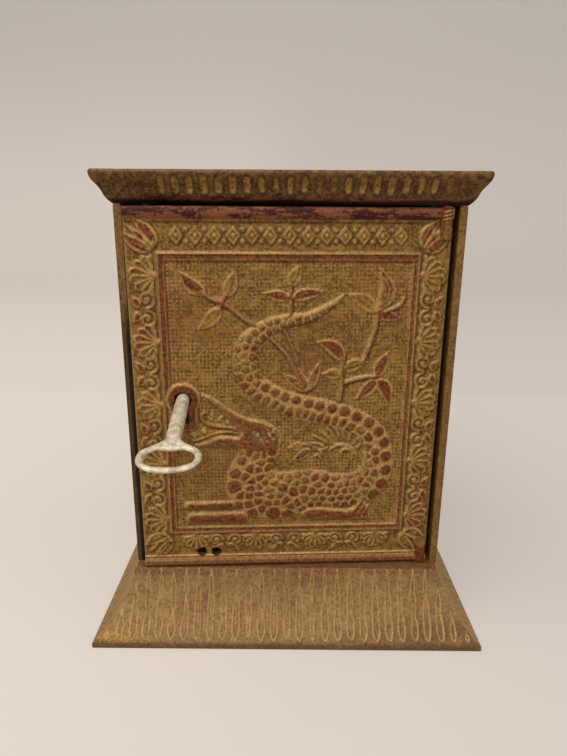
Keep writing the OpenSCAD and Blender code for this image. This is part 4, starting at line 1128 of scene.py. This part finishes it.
def make_base():
    """The base: a flared skirt with a lip and a deck, open from below, and the fluted face of its slopes."""
    rows = [[BASE_HALF - 0.5, 0.0], [BASE_HALF - 0.12, 0.12], [BASE_HALF, 0.5], [BASE_HALF, LIP_Z - 0.45],
            [BASE_HALF - 0.15, LIP_Z - 0.12], [BASE_HALF - 0.5, LIP_Z]]
    rows += slope_rows(0.8, 10)[1:-1]
    deck = len(rows)
    rows += [[DECK_HALF - 0.7, DECK_Z], [40, DECK_Z], [20, DECK_Z], [0.5, DECK_Z], [0.5, DECK_Z - DECK_T],
             [20, DECK_Z - DECK_T], [40, DECK_Z - DECK_T]]
    rows += [[x, z] for x, z in slope_rows(SKIRT_T, 14) if 0.7 < z < DECK_Z - DECK_T][::-1]
    rows += [[BASE_HALF - SKIRT_T, 0.5], [BASE_HALF - SKIRT_T + 0.4, 0.0]]
    columns = 110
    n = 4 * columns
    points, faces = rectangle_sweep([[x, x, z] for x, z in rows], columns)
    faces = [f for f in faces if not (f[0] // n == deck + 3 and f[2] // n == deck + 4)]
    faces.append([(deck + 3) * n + k for k in range(n)])
    faces.append([(deck + 4) * n + k for k in range(n - 1, -1, -1)])
    lip = step(LIP_Z + 0.3, LIP_Z - 0.1, points[:, 2])
    high = step(DECK_Z - 2, DECK_Z - 0.5, points[:, 2])
    x, y, z = points.T
    worn = 0.4 + 0.4 * high + 0.3 * rough(x + 2 * y, z + y, 10, 44)
    casting = mesh_object("base_casting", points, faces,
                          {"worn": np.clip(worn, 0, 1), "detail": -0.75 * lip - 0.45 * high})

    outer = slope_rows(0, 42)
    outer = [[outer[0][0] - 0.25, outer[0][1] - 0.1]] + outer[1:-1]
    outer += [[DECK_HALF - 0.05, DECK_Z - 0.15], [DECK_HALF - 0.5, DECK_Z + 0.02]]
    rows = outer + slope_rows(0.75, 6)[::-1]
    table = [[x, x, z] for x, z in rows]
    fluted = len(outer) - 1

    def relief(side, across, j):
        if not 0 < j < fluted:
            return np.zeros_like(across)
        place = (across + 70 * side, rows[j][1] * np.ones_like(across))
        uneven = 0.05 * rough(*place, 6, 41) + 0.03 * rough(*place, 1.1, 42, 2)
        away = base_flute(across, rows[j][1])
        rim = 0.16 * ridge(away - 0.08, 0.2)
        return (uneven + rim - 0.22 * step(0.0, -0.3, away)) * corner_fade(across, rows[j][0])

    def look(side, across, j):
        z = rows[j][1]
        away = base_flute(across, z)
        place = (across + 80 * side, z * np.ones_like(across))
        patch = rough(*place, 12, 43)
        inside = step(0.1, -0.3, away)
        corner = step(12, 4, np.hypot(across + 50, 3.5 * (z - LIP_Z)))
        gilt = inside * (0.05 + 0.3 * patch) + 0.8 * corner * step(-0.6, 0, patch)
        rose = 0.36 + 0.35 * rough(*place, 10, 44) - 0.2 * inside - corner + 0.3 * step(DECK_Z - 3, DECK_Z, z)
        # Painted shade: the front slope turns darker towards the right, away from the key light.
        right_shade = 0.35 * step(5, 50, across) if side == 0 else 0
        return {"worn": np.clip(rose, 0, 1),
                "gilt": np.clip(gilt, 0, 1),
                # Painted reflection: the left and right slopes are paler, as if they mirrored the bright
                # surround.
                "pale": np.full(across.shape, 0.4 * (side % 2)),
                "detail": -0.54 * step(10, 3, z) - right_shade * np.ones_like(across),
                "outline": OUTLINE_ZERO + away + 0.7 * np.clip(rough(*place, 4, 45) + 0.1, 0, 1)}

    points, faces = rectangle_sweep(table, SLOPE_COLUMNS, relief)
    slope = mesh_object("base_slope", points, faces, sweep_look(table, SLOPE_COLUMNS, look))
    material = bronze_paint("base_bronze", BASE_GROUND, WORN_ROSE, 23.0, 0, 0.6)
    for obj in (casting, slope):
        dress(obj, material, "root", "base")


# A branch for the side panels: each stem's points are [x, z, half width]
BRANCH = [[[-22, 35, 0.9], [-15, 45, 0.9], [-8, 57, 0.8], [-2, 69, 0.8], [2, 81, 0.7], [3, 93, 0.6],
           [1, 104, 0.5]],
          [[-12, 50, 0.6], [-18, 58, 0.55], [-22, 68, 0.5], [-22, 76, 0.4]],
          [[-4, 65, 0.6], [6, 70, 0.55], [14, 78, 0.5], [19, 88, 0.4]],
          [[2, 84, 0.5], [-6, 90, 0.5], [-14, 98, 0.4]],
          [[-18, 41, 0.6], [-6, 42, 0.6], [6, 46, 0.5], [18, 55, 0.4]]]
BLOSSOMS = [(-23, 84), (20, 97), (-18, 104), (24, 61), (14, 108), (-27, 48), (24, 38)]


def draw_branch(c, hand):
    """A branch with leaves on alternate sides and a few five-petalled blossoms, mirrored by hand."""
    spacing, length = 6.0, 8.5
    for stem in BRANCH:
        points = [[hand * x, z, half] for x, z, half in stem]
        cord_relief(c, points, 0.4, 0.5)
        line, runs = measured(points, 6)
        stops = list(np.arange(5.0, runs[-1] - 2, spacing)) + [runs[-1]]
        for k, run in enumerate(stops):
            x, z = (np.interp(run, runs, line[:, i]) for i in (0, 1))
            turn = (0.9 if k % 2 else -0.9) * (run < runs[-1])
            angle = math.atan2(*heading(line, runs, run)[::-1]) + turn
            tip = [x + length * math.cos(angle), z + length * math.sin(angle)]
            leaf_relief(c, [x, z], tip, 1.8, 0.44, 0.4 * turn, 0.5, 0.45)
    for mid_x, mid_z in BLOSSOMS:
        w, x, z = c.around(hand * mid_x, mid_z, 5)
        dx, dz = x - hand * mid_x, z - mid_z
        r, a = np.hypot(dx, dz), np.arctan2(dz, dx)
        edge = 3.4 * (0.72 + 0.28 * np.abs(np.cos(2.5 * a)) ** 0.6)
        rim = ridge(r - edge + 0.3, 0.35)
        c.raise_to(w, np.where(r < edge, 0.24 + 0.2 * rim, 0), 0.5, 0.3, 0.4 * rim)
        c.raise_to(w, 0.46 * rounded(r / 0.9), 0.1, 0.4, 0.3)


def make_walls():
    """The cast faces of the side and back walls: a beaded frame round a sunk field with a branch."""
    material = bronze_paint("wall_bronze", WALL_GROUND, WORN_BROWN, 37.0, 0.08)
    bx, by = BODY_HALF
    # Painted shadow: on the left wall, the front edge beside the door's latch side turns near black where the
    # door shades the gap, fading out between z = 92 and 108 mm.
    gap_shadow = ((1.0 - bx, 1.4 - bx), (0.8 - by, 0.2 - by), (108, 92))
    latch_side = bronze_paint("wall_bronze_latch", WALL_GROUND, WORN_BROWN, 37.0, 0.08, gap_shadow=gap_shadow)
    for name, half, reach, angle, hand in (("left_wall_face", by + 0.03, bx, -90, -1),
                                           ("right_wall_face", by + 0.03, bx, 90, 1),
                                           ("back_wall_face", bx - WALL_T, by, 180, 1)):
        c = Canvas((-half, half), (DECK_Z, CAP_Z - FACE_PROUD), WALL_PITCH)
        depth = np.minimum.reduce([half - np.abs(c.x), c.z - DECK_Z, CAP_Z - PANEL_GAP - c.z])
        field = WALL_FRAME + 2 * PANEL_BEAD
        draw_ground(c, (field - half, half - field), (DECK_Z + field, CAP_Z - PANEL_GAP - field))
        draw_branch(c, hand)
        whole = (slice(None), slice(None))
        c.raise_to(whole, np.where(depth < WALL_FRAME, PANEL_SINK, 0), 0.35)
        line = rounded((depth - WALL_FRAME - 1.5 * PANEL_BEAD) / (0.5 * PANEL_BEAD))
        c.raise_to(whole, PANEL_SINK * line, 0.35, 0.0, 0.2)
        finish_canvas(c, 61 + abs(angle) + hand)
        c.bead = np.zeros_like(c.h)
        c.h = np.minimum(c.h, PANEL_SINK) + FACE_PROUD
        edge = np.minimum(half - np.abs(c.x), c.z - DECK_Z)
        c.h -= 0.3 * (1 - rounded_step(edge + 0.02, 0.5))
        t = math.radians(angle)
        turn = np.array([[math.cos(t), math.sin(t), 0], [-math.sin(t), math.cos(t), 0], [0, 0, 1]])
        outward = np.array([0, PANEL_SINK - reach, 0])
        face = slab_from_canvas(name, c, np.ones((len(c.zs) - 1, len(c.xs) - 1), bool), [], 1.5,
                                lambda p: (p + outward) @ turn)
        dress(face, latch_side if hand < 0 else material, "root")
    return material, latch_side


def bevelled(node, width, segments=2):
    """Softens a CAD node's edges."""
    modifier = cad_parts[node].modifiers.new("edges", "BEVEL")
    modifier.width = width * MM
    modifier.segments = segments
    modifier.limit_method = "ANGLE"
    modifier.angle_limit = math.radians(35)


def dress_metal(wall, latch_side):
    """The walls, the lock and the pins keep their solids and take their finish."""
    dark = iron("bare_iron", srgb(48, 38, 32), srgb(92, 76, 62), 41.0, 0.5, 0.55)
    bright = iron("steel", srgb(96, 88, 80), srgb(168, 160, 150), 43.0, 0.85, 0.38)
    finish = {"left_wall": (latch_side, 0.25), "right_wall": (wall, 0.25), "back_wall": (wall, 0.25),
              "tie_screws": (bright, 0.15), "upper_hinge_pin": (bright, 0.1),
              "lower_hinge_pin": (bright, 0.1), "lock_bridge": (dark, 0.2), "latch": (dark, 0.15),
              "leaf_spring": (bright, 0.05), "lock_screws": (bright, 0.1)}
    for node, (material, width) in finish.items():
        paint_with(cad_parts[node], material)
        bevelled(node, width)


def key_place():
    """The matrix that puts the key's own axes, in millimetres, where the key is at rest."""
    shift = Matrix.Translation(Vector((KEYHOLE[0], DOOR_FRONT_Y + DOOR_T / 2, KEYHOLE[1])))
    hinge = Vector((HINGE[0], HINGE[1], 0))
    swing = Matrix.Translation(hinge) @ Matrix.Rotation(DOOR_AJAR, 4, "Z") @ Matrix.Translation(-hinge)
    return swing @ shift @ Matrix.Rotation(KEY_DROOP, 4, "X")


def tube(path, radii, flat=1.0, sides=20, closed=False):
    """Points and faces of a tube along a path in the plane z = 0; flat scales its thickness in z."""
    path = np.array(path, float)
    ahead = np.roll(path, -1, axis=0) - np.roll(path, 1, axis=0) if closed else np.gradient(path, axis=0)
    ahead /= np.linalg.norm(ahead, axis=1)[:, None]
    side = np.stack([-ahead[:, 1], ahead[:, 0], np.zeros(len(path))], 1)
    a = 2 * np.pi * np.arange(sides) / sides
    level, upright = np.cos(a)[:, None], flat * np.sin(a)[:, None] * np.array([0, 0, 1])
    points = np.concatenate([p + r * (level * s + upright) for p, r, s in zip(path, radii, side)])
    return points, ring_faces(len(path), sides, closed)


def make_key():
    """The key: a rough casting with an oval bow that dips at the shank, fused from round members."""
    bow_y, half_w, half_l, r = -31.35, 6.98, 5.18, 0.88
    bow = []
    for a in 2 * np.pi * np.arange(72) / 72:
        dip = 1.0 * math.exp(-((a - math.pi / 2) / 0.3) ** 2)
        x = half_w * math.copysign(abs(math.cos(a)) ** 0.88, math.cos(a))
        y = half_l * math.copysign(abs(math.sin(a)) ** 0.88, math.sin(a)) - dip
        bow.append([x, bow_y + y, 0])
    radii = [r * (1 + 0.06 * math.sin(3 * k * math.pi / 36) + 0.04 * math.cos(7 * k * math.pi / 36))
             for k in range(72)]
    parts = [tube(bow, radii, 0.74, closed=True)]
    parts.append(tube([[0, y, 0] for y in (-27, -26.2, -25, -23.6, -21.7, -12, -3, 4.2)],
                      [0.9, 1.1, 1.6, 1.95, 2.0, 1.98, 1.9, 1.9]))
    parts.append(tube([[0, y, 0] for y in (4.0, 5.6, 6.25)], [1.65, 1.6, 1.2]))
    arm = ((1.0, -23.4), (1.8, -24.6), (2.6, -25.6), (3.6, -26.4), (4.6, -26.8))
    for side in (-1, 1):
        parts.append(tube([[side * x, y, 0] for x, y in arm], [0.8, 0.95, 0.9, 0.85, 0.8], 0.85))
    bit = np.array([[x, y, z] for x in (0, 6.4) for y in (1.9, 4.2) for z in (-1.0, 1.0)])
    parts.append((bit, [[0, 1, 3, 2], [4, 6, 7, 5], [0, 4, 5, 1], [2, 3, 7, 6], [0, 2, 6, 4], [1, 5, 7, 3]]))
    points, faces, count = [], [], 0
    for p, f in parts:
        points.append(p)
        faces += [[i + count for i in face] for face in f]
        count += len(p)
    rough_key = mesh_object("key_parts", np.concatenate(points), faces, smooth=False)
    remesh = rough_key.modifiers.new("fuse", "REMESH")
    remesh.mode = "VOXEL"
    remesh.voxel_size = 0.22 * MM
    remesh.use_smooth_shade = True
    soften = rough_key.modifiers.new("soften", "SMOOTH")
    soften.factor = 0.6
    soften.iterations = 4
    graph = bpy.context.evaluated_depsgraph_get()
    mesh = bpy.data.meshes.new_from_object(rough_key.evaluated_get(graph))
    bpy.data.objects.remove(rough_key)
    co = np.zeros(len(mesh.vertices) * 3)
    mesh.vertices.foreach_get("co", co)
    co = co.reshape(-1, 3) / MM
    normals = np.array([v.normal for v in mesh.vertices])
    x, y, z = co.T
    lumps = 0.03 * rough(x + 1.3 * z, y + z, 4.5, 51) + 0.05 * rough(1.4 * x - z, y + 1.2 * z, 0.9, 52, 2)
    placed = key_place()
    rotation = np.array(placed.to_3x3())
    co = (co + lumps[:, None] * normals) @ rotation.T + np.array(placed.translation)
    mesh.vertices.foreach_set("co", (co * MM).astype(np.float32).ravel())
    mesh.update()
    mesh.name = "key_casting"
    key = bpy.data.objects.new("key_casting", mesh)
    bpy.context.scene.collection.objects.link(key)
    pale, dull, pitted = srgb(230, 217, 192), srgb(170, 152, 120), srgb(98, 80, 54)
    metal = iron("key_metal", dull, pale, 47.0, 0.2, 0.45, 420, pitted)
    dress(key, metal, "key", "key")


# The stage

def seen_rays(p):
    """1 for the rays that show the background or mirror it, and 0 for those that light the object."""
    ray = p.node("LightPath").outputs
    seen = p.math("MAXIMUM", ray["Is Glossy Ray"], ray["Is Transmission Ray"])
    return p.math("MAXIMUM", ray["Is Camera Ray"], seen)


def make_stage():
    """A pale floor that curves up into the backdrop."""
    points, faces = [], []
    profile = [(FLOOR_NEAR, 0), (0, 0), (BEND_Y, 0)]
    for a in np.linspace(0, math.pi / 2, 13)[1:]:
        profile.append((BEND_Y + BEND_R * math.sin(a), BEND_R * (1 - math.cos(a))))
    profile += [(BEND_Y + BEND_R, z) for z in BACKDROP_Z]
    for y, z in profile:
        points += [(-FLOOR_HALF, y, z), (FLOOR_HALF, y, z)]
    for j in range(len(profile) - 1):
        faces.append([2 * j, 2 * j + 1, 2 * j + 3, 2 * j + 2])
    floor = mesh_object("floor", points, faces)
    material, p, shader = new_material("backdrop")
    # Painted shade: the floor turns darker towards the right and the backdrop darker upwards, as the light
    # falls off.
    colour = p.mix(p.along("X", -150, 110), srgb(167, 158, 150), srgb(157, 149, 142))
    colour = p.mix(p.along("Z", 60, 600), colour, srgb(150, 143, 136))
    colour = p.mix(p.times(p.along("Y", 186, 198), 0.04), colour, srgb(90, 84, 80))
    p.feed(shader, {"Base Color": colour, "Roughness": 0.85, "Specular IOR Level": 0.1,
                    "Emission Color": colour, "Emission Strength": p.times(seen_rays(p), FLOOR_GLOW)})
    paint_with(floor, material)


def area_light(name, place, target, size, power, colour=(1, 1, 1)):
    """A soft box that faces a point."""
    data = bpy.data.lights.new(name, "AREA")
    data.shape = "RECTANGLE"
    data.size, data.size_y = size
    data.energy = power
    data.color = colour
    lamp = bpy.data.objects.new(name, data)
    bpy.context.scene.collection.objects.link(lamp)
    lamp.location = place
    lamp.rotation_euler = (Vector(target) - Vector(place)).to_track_quat("-Z", "Y").to_euler()


def make_lights():
    """Soft light from above and the left, weaker ones from the right and the front, and a pale surround."""
    middle = (0, 0, 0.08)
    area_light("key_light", (-0.4, -0.5, 1.3), middle, (1.4, 1.1), 15.2, (1.0, 0.985, 0.965))
    area_light("fill_light", (1.1, -0.35, 0.8), middle, (1.2, 1.0), 4.2)
    area_light("front_light", (-0.1, -1.5, 0.5), middle, (1.4, 0.9), 4.6)
    world = bpy.data.worlds.new("surround")
    bpy.context.scene.world = world
    world.use_nodes = True
    p = Painter(world.node_tree)
    strength = p.plus(p.times(seen_rays(p), SURROUND_GLOW), SURROUND_LIGHT)
    p.feed(world.node_tree.nodes["Background"], {"Color": (1.0, 0.975, 0.94, 1), "Strength": strength})


def make_camera():
    """The photograph's view: its place, its direction and its angle of view."""
    image_long_side, focal_pixels, sensor = 756, 576.34, 36.0
    yaw, pitch, roll = -0.0032, 0.2834, 0.0069
    place = Vector((-0.9923, -202.1988, 127.1471)) * MM
    ahead = Vector((math.sin(yaw) * math.cos(pitch), math.cos(yaw) * math.cos(pitch), -math.sin(pitch)))
    right = Vector((math.cos(yaw), -math.sin(yaw), 0))
    up = right.cross(ahead)
    right, up = right * math.cos(roll) + up * math.sin(roll), up * math.cos(roll) - right * math.sin(roll)
    data = bpy.data.cameras.new("photo_view")
    data.sensor_width = sensor
    data.lens = sensor * focal_pixels / image_long_side
    data.clip_start, data.clip_end = 0.01, 10
    camera = bpy.data.objects.new("photo_view", data)
    bpy.context.scene.collection.objects.link(camera)
    turn = Matrix((right, up, -ahead)).transposed()
    camera.matrix_world = Matrix.Translation(place) @ turn.to_4x4()
    bpy.context.scene.camera = camera


make_camera()
make_door()
make_cap()
make_base()
dress_metal(*make_walls())
make_key()
make_stage()
make_lights()
bpy.context.scene.view_settings.view_transform = "Standard"
